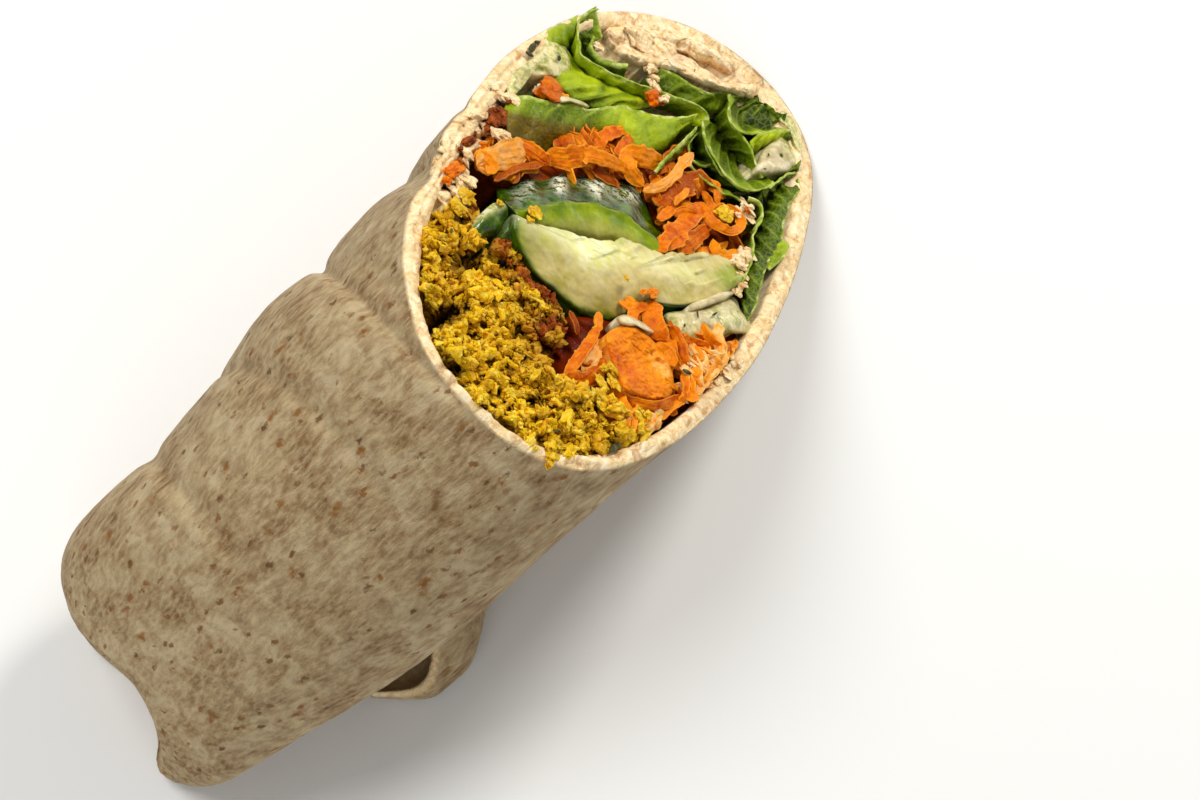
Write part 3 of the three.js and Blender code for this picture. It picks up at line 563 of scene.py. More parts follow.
def tortilla_material():
    material, shader, place = new_material("tortilla", 0.74, Specular_IOR_Level=0.2)
    # The skin: floury patches over fibres, small dark flecks of bran and larger rusty ones.
    skin = ramp(noise(place, 12, 6, 0.62, 0.5), (0.36, 124, 94, 60), (0.48, 148, 122, 86),
                (0.6, 168, 147, 112))
    patches = ramp(noise(place, 4.4, 7, 0.66, 0.5), (0.38, 108, 76, 42), (0.46, 140, 111, 75),
                   (0.54, 160, 137, 102), (0.62, 188, 170, 136))
    skin = mix(0.62, skin, patches)
    threads = grouped(FIBRES, Place=place, Turn=SKIN_GRAIN_TURN, Stretch=(0.45, 1.6, 1.0),
                      Fineness=1000 / 1.1, Detail=3, Roughness=0.6)
    floury = ramp(threads, (0.38, 0.0), (0.7, 1.0))
    skin = mix(times(floury, 0.6), skin, (200, 180, 138))
    tree = place.id_data
    wander = add_node(tree, "TexNoise", {"Vector": place, "Scale": 1100.0, "Detail": 3.0}).outputs["Color"]
    ragged = add_node(tree, "VectorMath", {0: wander, 1: (FLECK_WANDER,) * 3, 2: place},
                      operation="MULTIPLY_ADD")
    long_way = add_node(tree, "Mapping", {
        "Vector": ragged.outputs[0], "Rotation": SKIN_GRAIN_TURN,
        "Scale": (0.6, 1.25, 1.0)}).outputs["Vector"]
    gathered = noise(place, 1.5, 3, 0.6)
    bran = grouped(FLECKS, Place=long_way, Density=430.0, Full=0.14, Gone=0.26, Channel=RED, Never=0.2,
                   Always=0.36, Strength=0.85)
    bran = times(bran, ramp(gathered, (0.36, 0.0), (0.46, 1.0)))
    skin = mix(bran, skin, ramp(noise(place, 5.0, 2), (0.4, 88, 56, 22), (0.6, 132, 84, 34)))
    rust = grouped(FLECKS, Place=long_way, Density=240.0, Full=0.08, Gone=0.26, Channel=GREEN, Never=0.4,
                   Always=0.46, Strength=1.0)
    rust = times(rust, ramp(gathered, (0.42, 0.0), (0.5, 0.95)))
    skin = mix(rust, skin, (132, 84, 30))
    # The crumb, where it is cut: toasted and pitted, painted darker in its creases as shade, stained in
    # places.
    crumb = ramp(noise(place, 2.4, 5, 0.72, 1.4), (0.28, 194, 149, 92), (0.4, 229, 194, 139),
                 (0.52, 248, 222, 172), (0.7, 255, 245, 217))
    crumb = mix(ramp(noise(place, 3.4, 4, 0.6, 1.0), (0.56, 0.0), (0.66, 0.7)), crumb, (190, 132, 76))
    crumb = mix(ramp(noise(place, 0.8, 4, 0.7), (0.3, 0.6), (0.42, 0.0)), crumb, (160, 112, 64))
    # Painted shade: the "low" mark darkens the crumb where it lies sunken.
    crumb = mix(mark(place, "low"), crumb, ramp(noise(place, 1.6, 4), (0.35, 112, 64, 22),
                                                (0.65, 184, 132, 78)))
    rusty = ramp(noise(place, 1.3, 4, 0.6), (0.34, 92, 30, 0), (0.5, 164, 80, 14), (0.68, 208, 136, 60))
    soaked = times(mark(place, "stain"), ramp(noise(place, 1.8, 4, 0.65), (0.36, 0.2), (0.5, 1.0)))
    crumb = mix(soaked, crumb, rusty)
    grain = mix(0.5, noise(place, 1.1, 5, 0.7), ramp(bran, (0.0, 1.0), (1.0, 0.0)))
    finish_surface(shader, mix(mark(place, "cut"), skin, crumb), mix(0.35, grain, floury), 0.4, 0.7)
    return material


# The skin is rows of points from the folded end to the cut. Its folded end reaches less far on one side.
AROUND = 420
DENT_ROWS = 14
BEND_ROWS = 12
LENGTH_ROWS = 150
RIM_ROWS = 12
INSIDE_ROWS = 25
END_TURN = 0.15
END_BULGE = 3.4
END_CORNERS = (-2.2, 3.5)
angles = np.arange(AROUND) / AROUND * 2 * math.pi
side = np.cos(angles + END_TURN)
end_reach = (FOLDED_END_X + 1.5 + END_BULGE * (1 - np.abs(side) ** 1.6)
             + np.where(side < 0, *END_CORNERS) * side ** 4)
DENT_MIDDLE = np.array([FOLDED_END_X + 10, -2, 7])
DENT_HEIGHT = 6

rows = []
for share in np.linspace(0.04, 0.96, DENT_ROWS):
    rim_edge = outer_point(end_reach, angles, CORNER_RADIUS)
    row = rim_edge * share + DENT_MIDDLE * (1 - share)
    row[:, 2] = rim_edge[:, 2] + (DENT_HEIGHT - rim_edge[:, 2]) * (0.12 + 0.4 * (1 - share))
    row[:, 0] = DENT_MIDDLE[0] + (rim_edge[:, 0] - DENT_MIDDLE[0]) * share ** 0.8
    rows.append(row)
for turn in np.linspace(0.04, 1, BEND_ROWS):
    bend = turn * math.pi / 2
    rows.append(outer_point(end_reach + CORNER_RADIUS * (1 - math.cos(bend)), angles,
                            CORNER_RADIUS * (1 - math.sin(bend))))
outer_cut = at_cut(outer_point, angles)
start = end_reach + CORNER_RADIUS
for share in np.linspace(0, 1, LENGTH_ROWS + 1)[1:]:
    rows.append(outer_point(start + (outer_cut - start) * share, angles))
skin = np.array(rows)
hand = uneven(skin, (0.45, 26, 1), (0.22, 9, 2), (0.07, 3.2, 3), (0.03, 1.2, 4))
resting = smooth(skin[..., 2], 0.2, 4)
pleats = sum(deep * np.exp(-((skin[..., 0] - x - slant * (skin[..., 2] - 30)) / wide) ** 2)
             for x, slant, wide, deep in PLEATS)
hand = hand - pleats * smooth(np.cos(angles - PLEATED_SIDE), 0.1, 0.7)
skin = push_out(skin, hand * resting)
skin[..., 2] = np.maximum(skin[..., 2], 0)

# The cut edge: torn a little, with a groove between the turns where the wall is thick.
TWO_TURNS = 2.6
inner_cut = at_cut(inner_point, angles)
edge_out = skin[-1]
edge_in = inner_point(inner_cut, angles)
rim_rows = []
for share in np.linspace(0, 1, RIM_ROWS + 1)[1:]:
    row = edge_out * (1 - share) + edge_in * share
    dome = math.sin(math.pi * share)
    groove = np.exp(-((share - 0.5) / 0.1) ** 2) * np.clip(wall_thickness(angles) - TWO_TURNS, 0, 1) * 0.7
    torn = uneven(row, (0.5, 1.3, 11), (0.35, 3.4, 12), (0.25, 0.6, 13))
    rim_rows.append(row + NORMAL * (0.5 * dome + torn * (0.4 + 0.6 * dome) - groove)[:, None])
# The wall's inner face runs in past the fillings and closes there.
INNER_MIDDLE = np.array([-3, 20])
inner_end = FILLING_END_X - 2.0
inside_rows = []
for share in np.linspace(0, 1, INSIDE_ROWS + 1)[1:] ** 1.5:
    row = inner_point(inner_cut + (inner_end - inner_cut) * share, angles)
    inside_rows.append(row + 0.3 * waves(row, 4, 14)[:, None] * NORMAL)
for share in (0.6, 0.2):
    row = inner_point(np.full(AROUND, inner_end), angles)
    row[:, 1:] = INNER_MIDDLE + (row[:, 1:] - INNER_MIDDLE) * share
    inside_rows.append(row)
body = np.concatenate([skin, rim_rows, inside_rows])
# Spots that juice and fried crumbs have stained, as (across, down, half width across, half width down,
# strength). Across and down are measured on the cut face, from its middle.
STAINS = [
    (24.4, -0.6, 1.5, 3.4, 1), (26.2, 4.6, 0.9, 2.2, 0.9), (22.6, -8.6, 0.7, 2.4, 0.9),
    (20.4, -12.8, 0.7, 2, 0.8), (28, 9.4, 0.7, 2.2, 0.6), (17, -16.4, 0.8, 1.6, 0.6),
    (18, 51.8, 1.8, 1.8, 0.7), (23, 44, 1.2, 3, 0.35), (29.4, 20, 0.7, 2, 0.5),
]


def spots(a, d, *rows):
    """Soft spots on the cut face, each (across, down, half width across, half width down, strength)."""
    return sum(strong * np.exp(-((a - x) / wide) ** 2 - ((d - y) / tall) ** 2)
               for x, y, wide, tall, strong in rows)


def stained(a, d, share=1):
    return np.clip(spots(a, d, *STAINS), 0, 1)


# How much of the pale crumb shows: half at the rim's outer edge, all on the rim, most of it inside.
RIM_EDGE_CUT = 0.55
INSIDE_CUT = 0.8
cut_mark = np.concatenate([
    np.zeros(len(skin) - 1), [RIM_EDGE_CUT], np.ones(len(rim_rows)), np.full(len(inside_rows), INSIDE_CUT),
])[:, None] * np.ones(AROUND)
tortilla = Shape()
on_face = (body - CUT_MIDDLE) @ np.stack([ACROSS, DOWN], 1)
rim_stain = 0.7 * stained(on_face[..., 0] + 1, on_face[..., 1]) * cut_mark
tortilla.grid(body, cut=cut_mark, stain=rim_stain)


def resample(line, count, closed=False):
    """Even points along a smooth curve through a short list of points."""
    p = np.asarray(line, float)
    if closed:
        p = np.concatenate([p[-1:], p, p[:2]])
    else:
        p = np.concatenate([2 * p[:1] - p[1:2], p, 2 * p[-1:] - p[-2:-1]])
    pieces = []
    t = np.linspace(0, 1, 24, endpoint=False)[:, None]
    for a, b, c, d in zip(p[:-3], p[1:-2], p[2:-1], p[3:]):
        pieces.append(0.5 * (2 * b + (c - a) * t + (2 * a - 5 * b + 4 * c - d) * t ** 2
                             + (3 * b - a - 3 * c + d) * t ** 3))
    curve = np.concatenate(pieces + [p[-2:-1]])
    along = np.concatenate([[0], np.cumsum(np.linalg.norm(np.diff(curve, axis=0), axis=1))])
    wanted = np.linspace(0, along[-1], count + 1)[:-1] if closed else np.linspace(0, along[-1], count)
    return np.stack([np.interp(wanted, along, curve[:, k]) for k in range(curve.shape[1])], -1)


# What stands out of the cut rises nearly straight up from it, because the pieces rest in each other.
RISE = np.array([-0.320, -0.355, 1.472])


def at(across, down, out=0.0):
    """A place on the cut face: millimetres across and down it from its middle, and out of it."""
    across, down, out = (np.asarray(v, float)[..., None] for v in (across, down, out))
    return CUT_MIDDLE + across * ACROSS + down * DOWN + out * RISE


def in_section(points):
    """A point's section of the roll, and how far it lies from its middle along the oval's two ways."""
    tall, thin, y = section_at(points[..., 0])
    up = points[..., 2] - middle_height(tall, thin)
    across = points[..., 1] - y
    thin_way = across * math.cos(LEAN) + up * math.sin(LEAN)
    return tall, thin, y, thin_way, up * math.cos(LEAN) - across * math.sin(LEAN)


DRAW_PER_MM = 0.0012


def follow(points, x):
    """Carries points along the roll to x, drawing in with its taper."""
    tall, thin, y, thin_way, tall_way = in_section(points)
    thin_share, tall_share = thin_way / thin, tall_way / tall
    tall, thin, y = section_at(x)
    draw = 1 - DRAW_PER_MM * np.maximum(0, points[..., 0] - x)
    across, up = lean(thin_share * thin * draw, tall_share * tall * draw)
    return np.stack(np.broadcast_arrays(x, y + across, middle_height(tall, thin) + up), -1)


# How much of the way out to the wall, and to the skin, a filling may reach.
WALL_REACH, SKIN_REACH = 0.985, 0.965
NEXT_TO_NONE = 1e-6


def hold_in(points, sides=True):
    """Keeps sides under the cut face inside the wall, and a face that sinks into it inside the skin."""
    tall, thin, y, thin_way, tall_way = in_section(points)
    thick = wall_thickness(np.arctan2(tall_way / tall, thin_way / thin))
    round_ = SQUARENESS
    to_wall = ((np.abs(thin_way / (thin - thick)) ** round_ + np.abs(tall_way / (tall - thick)) ** round_)
               ** (1 / round_))
    under = smooth(-past_cut(points), 0.6, 3.5) * sides
    draw = 1 - under * (1 - np.minimum(1, WALL_REACH / np.maximum(to_wall, NEXT_TO_NONE)))
    to_skin = (np.abs(thin_way / thin) ** round_ + np.abs(tall_way / tall) ** round_) ** (1 / round_)
    below = smooth(-past_cut(points), -0.1, 0.5)
    draw = np.minimum(draw, 1 - below * (1 - np.minimum(1, SKIN_REACH / np.maximum(to_skin, NEXT_TO_NONE))))
    across, up = lean(thin_way * draw, tall_way * draw)
    height = np.maximum(middle_height(tall, thin) + up, LEAST_FLOOR * under)
    return np.stack([points[..., 0], y + across, height], -1)


def flat_point(a, d):
    """A place on the cut face as a point, for waves and chunks."""
    return np.stack([a, d, 0 * a], -1)


# How far in a filling's sides have rows, as shares of its depth.
SIDE_ROWS = (0.03, 0.1, 0.25, 0.5, 1)


def filling(shape, outline, middle, relief, around=200, rings=40, depth=26, **marks):
    """A filling's face over this outline, with relief giving how far out each place stands, and its
    sides running in along the roll by depth. A mark is a number, or is worked out like relief."""
    edge = resample(outline, around, closed=True)
    share = np.linspace(0.02, 1, rings)[:, None, None]
    place = np.array(middle) * (1 - share) + edge * share
    a, d, share = place[..., 0], place[..., 1], share[..., 0] * np.ones(around)
    face = hold_in(at(a, d, relief(a, d, share)), sides=False)
    sides = [hold_in(follow(face[-1], face[-1][:, 0] - depth * s)) for s in SIDE_ROWS]
    values = {}
    for name, value in marks.items():
        on_face = np.broadcast_to(value(a, d, share) if callable(value) else value, a.shape)
        values[name] = np.concatenate([on_face, np.repeat(on_face[-1:], len(sides), 0)])[:, ::-1]
    shape.grid(np.concatenate([face, sides])[:, ::-1], **values)


def near_line(a, d, line, count=90):
    """Millimetres from places on the cut face to a line, signed: positive on its right as it runs."""
    fine = resample(line, count)
    gap = np.hypot(a[..., None] - fine[:, 0], d[..., None] - fine[:, 1])
    nearest = np.argmin(gap, -1)
    step = np.gradient(fine, axis=0)[nearest]
    off = np.stack([a, d], -1) - fine[nearest]
    side = np.sign(off[..., 0] * step[..., 1] - off[..., 1] * step[..., 0])
    return np.min(gap, -1) * side


def band(a, d, line, wide, off=0.0):
    """1 along a line, or this far off it, and fading on both sides over a half width."""
    return np.exp(-((near_line(a, d, line) - off) / wide) ** 2)


def sunken(relief, a, d, share, step=1.2):
    """How far each place of a relief lies below what is round it."""
    beside = ((step, 0), (-step, 0), (0, step), (0, -step))
    return sum(relief(a + x, d + y, share) for x, y in beside) / 4 - relief(a, d, share)


def hollows_of(relief, low, high, step=0.8, strength=1.0):
    """A mark that grows where a relief is sunken, from low to high; it is used to paint shade into hollows.
    """
    return lambda a, d, share: strength * smooth(sunken(relief, a, d, share, step), low, high)


# The sheet's crumpled inner end lies beside the lettuce. This is its outline on the cut face.
TAIL = [
    (31.6, 34), (30, 31.2), (27.4, 31.6), (25, 33.4), (23.2, 36.8), (20.8, 41.2), (17.6, 45), (15.6, 48.6),
    (13.4, 52.4), (12, 55.6), (14.6, 58.4), (20.6, 55.6), (25.4, 49.6), (29, 43), (31, 38),
]

# Its folds, as (line, half width, how far out they stand); the last two are the gash between them.
FOLDS = [
    ([(31, 33.6), (30.2, 39), (28, 44.6), (24.4, 49.6), (20, 54.4)], 1.6, 1.3),
    ([(26.4, 33), (24, 38.4), (20.8, 43.4), (17.6, 47.6)], 1.2, 0.8),
    ([(17.4, 46.4), (16, 50), (14.4, 54), (12.6, 57.4)], 1.2, 1),
    ([(20.6, 49), (17.8, 51.8), (16.4, 55)], 0.8, -2.6), ([(23.6, 45.4), (20.4, 48.8)], 0.5, -1),
]


def crumpled(a, d, share):
    p = flat_point(a, d)
    bent = drifted(p, 0.9, 3, 24)
    folds = sum(high * band(bent[..., 0], bent[..., 1], line, wide) for line, wide, high in FOLDS)
    flakes, gap = chunks(bent * np.array([1, 0.7, 1]), 2.8, 20)
    fine = 0.9 * np.abs(waves(bent, 3.4, 21)) + 0.24 * waves(p, 1.2, 22) + 0.1 * waves(p, 0.5, 23)
    return 0.4 + folds + 0.2 * flakes - 0.15 * gap + fine - 1.8 * share ** 8


tortilla_inside = Shape()
# The "low" mark paints shade into the tail's sunken folds.
filling(tortilla_inside, TAIL, (21.6, 44.5), crumpled, around=260, rings=80, depth=18,
        cut=1.0, stain=stained, low=hollows_of(crumpled, 0.05, 0.5, strength=0.7))

# On the other side the sheet's torn inner layer shows between the wall and the carrot, with pockets in it.
INNER_LAYER = [
    (29.4, 9), (28, 5.4), (26.4, 3.6), (24.6, 2.6), (23, 0.6), (22, -2.6), (21.3, -6), (20.8, -9.6),
    (19.2, -11.6), (17, -13.4), (15, -15.2), (14, -17.2), (14.6, -19.6), (17.2, -21.6), (20.4, -19.4),
    (23.4, -15), (25.6, -10.4), (27.6, -4), (29.2, 2), (30.2, 7),
]
# Pockets torn open in it, as (across, down, half width across, half width down, depth).
POCKETS = [(24.2, 0.2, 0.9, 3.2, 2.6), (22.4, -5.4, 0.55, 2.6, 1.8), (26.2, 4.2, 0.7, 2.2, 1.4),
           (17.6, -17.6, 0.6, 2.4, 1.6)]


def torn_layer(a, d, share):
    p = flat_point(a, d)
    pockets = sum(deep * np.exp(-((a - x + 0.3 * (d - y)) / wide) ** 2 - ((d - y) / tall) ** 2)
                  for x, y, wide, tall, deep in POCKETS)
    standing, gap = chunks(p + 0.5 * waves(p, 2, 26)[..., None], 2.6, 27)
    torn = 0.5 * standing - 0.4 * gap + 0.35 * waves(p, 1.3, 28) + 0.15 * waves(p, 0.6, 29)
    return 0.1 + torn - pockets - 0.8 * share ** 8


# The "low" mark paints shade into the layer's pockets and gaps.
filling(tortilla_inside, INNER_LAYER, (22.4, -9), torn_layer, around=240, rings=60, depth=12,
        cut=1.0, stain=stained, low=hollows_of(torn_layer, 0.1, 0.8))

# The tucked-in edge stands off low on one side as a folded ear, open toward the closed end.
EAR = {"from_x": -42, "mouth_x": -31, "to_x": -18, "reach_y": -29, "floor": 1, "thick": 1.8}
EAR_SEAM = (math.radians(178), math.radians(196))
EAR_ROWS, EAR_COLUMNS = 60, 36
# Where the ear leaves the roll's side, and where its underside ends beneath the roll.
EAR_ROOT_Y, EAR_UNDER_Y = -20, -8


def ear_sheet(inward):
    """One face of the ear, this far in from its outer face."""
    x = np.linspace(EAR["from_x"], EAR["to_x"], EAR_ROWS)
    opens = smooth(x, EAR["from_x"] - 5, EAR["mouth_x"] - 3)
    shuts = smooth(x, EAR["mouth_x"] + 1, EAR["to_x"] + 2)
    reach = EAR_ROOT_Y + (EAR["reach_y"] - EAR_ROOT_Y) * opens * (1 - 0.85 * shuts) + inward * opens
    seam = outer_point(x, EAR_SEAM[0] + (EAR_SEAM[1] - EAR_SEAM[0]) * shuts, 1 + inward)
    lip = 0.12 + 0.88 * smooth(x, EAR["mouth_x"] - 8, EAR["mouth_x"] + 3)
    floor = 0 * x + EAR["floor"]
    columns = [np.stack(column, -1) for column in (
        (x, 0 * x + EAR_UNDER_Y, floor + inward * 0.9), (x, reach * 0.6, floor + inward * 0.9),
        (x, reach + 1.8, floor - 0.2 + inward), (x, reach, floor + 1.6 + inward * 0.6))]
    tip = columns[-1]
    for share in (0.3, 0.65, 1):
        rise = (share * lip)[:, None]
        wall_point = tip * (1 - rise) + seam * rise
        wall_point[:, 1] -= 1.6 * np.sin(math.pi * rise[:, 0]) * opens
        columns.append(wall_point)
    return np.array([resample(line, EAR_COLUMNS) for line in np.stack(columns, 1)])


ear_out, ear_in = ear_sheet(0), ear_sheet(EAR["thick"])
ear_out = ear_out + 0.15 * waves(ear_out, 5, 31)[..., None] * np.array([0, -1, 0.3])
lip_edge = np.array([ear_out[:, -1] * (1 - s) + ear_in[:, -1] * s for s in (0.25, 0.5, 0.75)])
ear_all = np.concatenate([ear_out, lip_edge.transpose(1, 0, 2), ear_in[:, ::-1]], axis=1)
ear_all[..., 2] = np.maximum(ear_all[..., 2], 0.3)
ear_mark = np.concatenate([np.zeros(EAR_COLUMNS), [0.5, 0.7, 0.5], np.full(EAR_COLUMNS, 0.15)])
tortilla.grid(ear_all, cut=ear_mark[None, :] * np.ones((EAR_ROWS, 1)))
tortilla_finish = tortilla_material()
tortilla.piece("tortilla_roll", tortilla_finish, "tortilla", "tortilla")
tortilla_inside.piece("tortilla_inside", tortilla_finish, "tortilla", "tortilla")

# -------------------- falafel
# Two fried chickpea balls, cut through. Inside they are a loose crumb, saffron yellow with turmeric, and
# olive painted into the hollows as shade; the crust next to the cucumber and carrot is red brown.
FALAFEL_LOWER = [
    (7.2, -14.4), (3.6, -13.6), (0, -13.9), (-3.6, -12.6), (-6.4, -14), (-8.6, -17), (-10.6, -21.6),
    (-12.6, -23.8), (-15, -22.4), (-16.8, -17), (-18.6, -15.2), (-20.6, -14.4), (-22.6, -9.4), (-25, -10.6),
    (-25.7, -17), (-25.4, -25), (-24.4, -31.4), (-21, -34), (-17, -34.6), (-13.4, -36.8), (-9.4, -39.4),
    (-5.4, -40), (-1.6, -38.4), (0.6, -35.6), (2.4, -31), (5.4, -25.4), (7.2, -20),
]
FALAFEL_UPPER = [
    (15.4, -15), (15.9, -20), (14.2, -25.6), (11, -29.8), (7.4, -33), (3.4, -36), (1.6, -37), (1.4, -33),
    (4.6, -27.4), (7.6, -22), (8.4, -18.4), (10.6, -17), (12.6, -15.6),
]
# Clefts and pits in the crumb, as (across, down, half width across, half width down, depth).
HOLLOWS = [
    (7, -24.6, 1.7, 3.2, 2.6), (1.4, -33.4, 1.7, 4, 3), (-5.6, -38, 1.9, 2, 2.6),
    (-14.6, -28.4, 1.3, 2.2, 2.2), (-5.4, -23.6, 0.9, 1.6, 2), (-8.6, -20.4, 2, 1.2, 2.2),
    (4.8, -17.4, 0.9, 1.5, 1.8), (1.2, -17.6, 0.8, 1.4, 1.6), (12.4, -19.6, 1, 2.2, 1.6),
    (-20.2, -31.6, 1.5, 1.3, 1.4), (-3, -31, 0.9, 1.2, 1.3), (9.8, -27.4, 0.8, 1.4, 1.2),
    (-11.4, -33.6, 0.8, 1.6, 1.4), (-2.2, -27.8, 0.7, 1.3, 1.1), (-17.6, -21.4, 0.9, 1.3, 1.4),
]


def hollow_at(a, d):
    return spots(a, d, *HOLLOWS)


def crumbly(seed, raised):
    """Relief of broken crumb: lumps on lumps, each size with gaps between, and clefts where it broke."""
    def relief(a, d, share):
        p = drifted(flat_point(a, d), 0.55, 1.6, seed + 6)
        p = drifted(p, 0.2, 0.6, seed + 8)
        big, number = lumps(p, 4.6, seed)
        middle_size, gap = chunks(p, 2.3, seed + 1)
        small, small_gap = chunks(p, 1.15, seed + 2)
        tiny, _ = chunks(p, 0.6, seed + 3)
        body = raised + 1.5 * smooth(big, 0.15, 0.75) + 0.4 * number + 0.9 * waves(p, 6, seed + 3)
        crumb = 0.66 * middle_size - 0.7 * gap + 0.46 * small - 0.28 * small_gap + 0.24 * tiny
        return body + crumb - hollow_at(a, d) - 2.2 * share ** 14
    return relief


def falafel_material():
    material, shader, place = new_material(
        "falafel", 0.6, Specular_IOR_Level=0.2, Subsurface_Weight=0.12, Subsurface_Radius=(0.9, 0.5, 0.1),
        Subsurface_Scale=0.0012)
    crumb = ramp(noise(place, 2.4, 5, 0.7, 1.0), (0.3, 196, 128, 0), (0.43, 248, 194, 0), (0.55, 255, 224, 8),
                 (0.7, 255, 240, 120))
    speck = ramp(noise(place, 0.8, 3, 0.6), (0.3, 170, 104, 0), (0.5, 240, 186, 6), (0.66, 255, 232, 132))
    crumb = mix(0.45, crumb, speck)
    crumb = mix(ramp(noise(place, 7, 3, 0.5), (0.42, 0.0), (0.62, 0.35)), crumb, (192, 128, 2))
    # Painted shade: olive and dark where the crumb lies in hollows and clefts.
    hollow_shade_colour = ramp(noise(place, 2.0, 4), (0.35, 84, 56, 0), (0.7, 156, 112, 0))
    colour = mix(mark(place, "hollow"), crumb, hollow_shade_colour)
    crust = ramp(noise(place, 1.6, 4, 0.65), (0.3, 82, 28, 0), (0.55, 156, 70, 3), (0.75, 208, 122, 12))
    colour = mix(mark(place, "crust"), colour, crust)
    finish_surface(shader, colour, noise(place, 0.5, 4, 0.7), 0.3, 0.8)
    return material


def crust_at(a, d, share):
    """The crust shows in patches where the ball touches the cucumber and along its top."""
    by_slice = spots(a, d, (-7.4, -17, 3.4, 5.2, 1))
    top = smooth(d, -21, -15) * smooth(a, -6, -2)
    patches = smooth(waves(flat_point(a, d), 2.2, 47), -0.45, 0.1)
    return np.clip((by_slice * 1.3 + top) * patches, 0, 1)


def hollow_shade_at(relief):
    """Painted shade: where the crumb lies low it is coloured olive and dark."""
    low = hollows_of(relief, 0.1, 1.1, 1.2)
    return lambda a, d, share: np.clip(0.75 * low(a, d, share) + smooth(hollow_at(a, d), 0.5, 1.8), 0, 1)


falafel_finish = falafel_material()
falafel_shapes = {}
for name, outline, middle, seed, raised, around, rings in (
        ("falafel_lower", FALAFEL_LOWER, (-10, -27), 5, 0.3, 420, 150),
        ("falafel_upper", FALAFEL_UPPER, (9.6, -23), 9, -0.5, 260, 90)):
    relief = crumbly(seed, raised)
    shape = Shape()
    filling(shape, outline, middle, relief, around, rings, hollow=hollow_shade_at(relief), crust=crust_at)
    falafel_shapes[name] = shape.piece(name, falafel_finish, "falafel", name)


# Loose crumbs lie on both: knobbly grains in several shapes and all sizes, strewn over the face.
GRAIN_LONG = 1.5
GRAIN_FLAT = 0.6


def knobbly(name, seed, material):
    """A grain: a small ball, longer and flatter than round, with its surface pushed in and out."""
    grain_mesh = bpy.data.meshes.new(name)
    ball = bmesh.new()
    bmesh.ops.create_icosphere(ball, subdivisions=2, radius=1.0)
    for vertex in ball.verts:
        vertex.co *= 1 + uneven(np.array(vertex.co), (0.5, 0.9, seed), (0.45, 0.45, seed + 1))
        vertex.co.x *= GRAIN_LONG
        vertex.co.z *= GRAIN_FLAT
    ball.to_mesh(grain_mesh)
    ball.free()
    one = bpy.data.objects.new(name, grain_mesh)
    one.data.materials.append(material)
    return one


# Small grains are far more common than large ones: a size from 0 to 1 is raised to this power.
SIZE_POWER = 3.2
FULL_TURNS = (6.28, 6.28, 6.28)


def strew_tree(name):
    """Geometry Nodes: grains of random size and turn, spread over the faces that an attribute marks."""
    tree, given, result = new_group(
        name, "GeometryNodeTree", "Strewn", "Geometry", Surface="Geometry", Grains="Collection",
        Density="Float", Smallest="Float", Largest="Float", Seed="Int", Finish="Material")
    where = add_node(tree, "GeometryNodeInputNamedAttribute", {"Name": "strewn"}, data_type="FLOAT")
    thick = add_node(tree, "Math", {0: given["Density"], 1: where.outputs["Attribute"]}, operation="MULTIPLY")
    spread = add_node(tree, "GeometryNodeDistributePointsOnFaces", {
        "Mesh": given["Surface"], "Density": thick.outputs[0], "Seed": given["Seed"]})
    kinds = add_node(tree, "GeometryNodeCollectionInfo", {
        "Collection": given["Grains"], "Separate Children": True, "Reset Children": True})
    turn = add_node(tree, "FunctionNodeRandomValue", {"Max": FULL_TURNS}, data_type="FLOAT_VECTOR")
    size = add_node(tree, "FunctionNodeRandomValue", data_type="FLOAT")
    rarer = add_node(tree, "Math", {0: size.outputs[1], 1: SIZE_POWER}, operation="POWER")
    sized = add_node(tree, "MapRange", {
        "Value": rarer.outputs[0], "To Min": given["Smallest"], "To Max": given["Largest"]})
    placed = add_node(tree, "GeometryNodeInstanceOnPoints", {
        "Points": spread.outputs["Points"], "Instance": kinds.outputs["Instances"], "Pick Instance": True,
        "Rotation": turn.outputs["Value"], "Scale": sized.outputs["Result"]})
    realized = add_node(tree, "GeometryNodeRealizeInstances", {"Geometry": placed.outputs["Instances"]})
    finished = add_node(tree, "GeometryNodeSetMaterial", {
        "Geometry": realized.outputs["Geometry"], "Material": given["Finish"]})
    tree.links.new(finished.outputs["Geometry"], result)
    return tree


strewing = strew_tree("strewn_grains")


def strew(name, surface, slot, material, **values):
    """Strews grains over a piece by its "strewn" mark and keeps them as a mesh of their own."""
    carrier = surface.copy()
    bpy.context.scene.collection.objects.link(carrier)
    modifier = carrier.modifiers.new("strew", "NODES")
    modifier.node_group = strewing
    values["Finish"] = material
    for item in strewing.interface.items_tree:
        if item.in_out == "INPUT" and item.name in values:
            modifier[item.identifier] = values[item.name]
    carrier.update_tag()
    settled = carrier.evaluated_get(bpy.context.evaluated_depsgraph_get())
    mesh = bpy.data.meshes.new_from_object(settled)
    bpy.data.objects.remove(carrier)
    mesh.name = name
    keep(name, mesh, material, slot)


GRAIN_KINDS = 7
GRAINS_PER_SQUARE_METRE = 900000.0
grain_kinds = bpy.data.collections.new("falafel_grains")
for number in range(GRAIN_KINDS):
    grain_kinds.objects.link(knobbly(f"falafel_grain_{number}", 60 + 3 * number, falafel_finish))
for name, thing in falafel_shapes.items():
    points = np.zeros(len(thing.data.vertices) * 3)
    thing.data.vertices.foreach_get("co", points)
    out = (points.reshape(-1, 3) / MM - ROLL_TO_FRAME - CUT_MIDDLE) @ NORMAL
    # The grains thin out where the painted hollow shade lies.
    deep = np.zeros(len(out))
    thing.data.attributes["hollow"].data.foreach_get("value", deep)
    strewn = thing.data.attributes.new("strewn", "FLOAT", "POINT")
    strewn.data.foreach_set("value", smooth(out, -2.5, -1.0) * (1 - 0.75 * deep))
    strew(name + "_crumbs", thing, "falafel", falafel_finish, Grains=grain_kinds,
          Density=GRAINS_PER_SQUARE_METRE, Smallest=0.2 * MM, Largest=0.8 * MM, Seed=3)

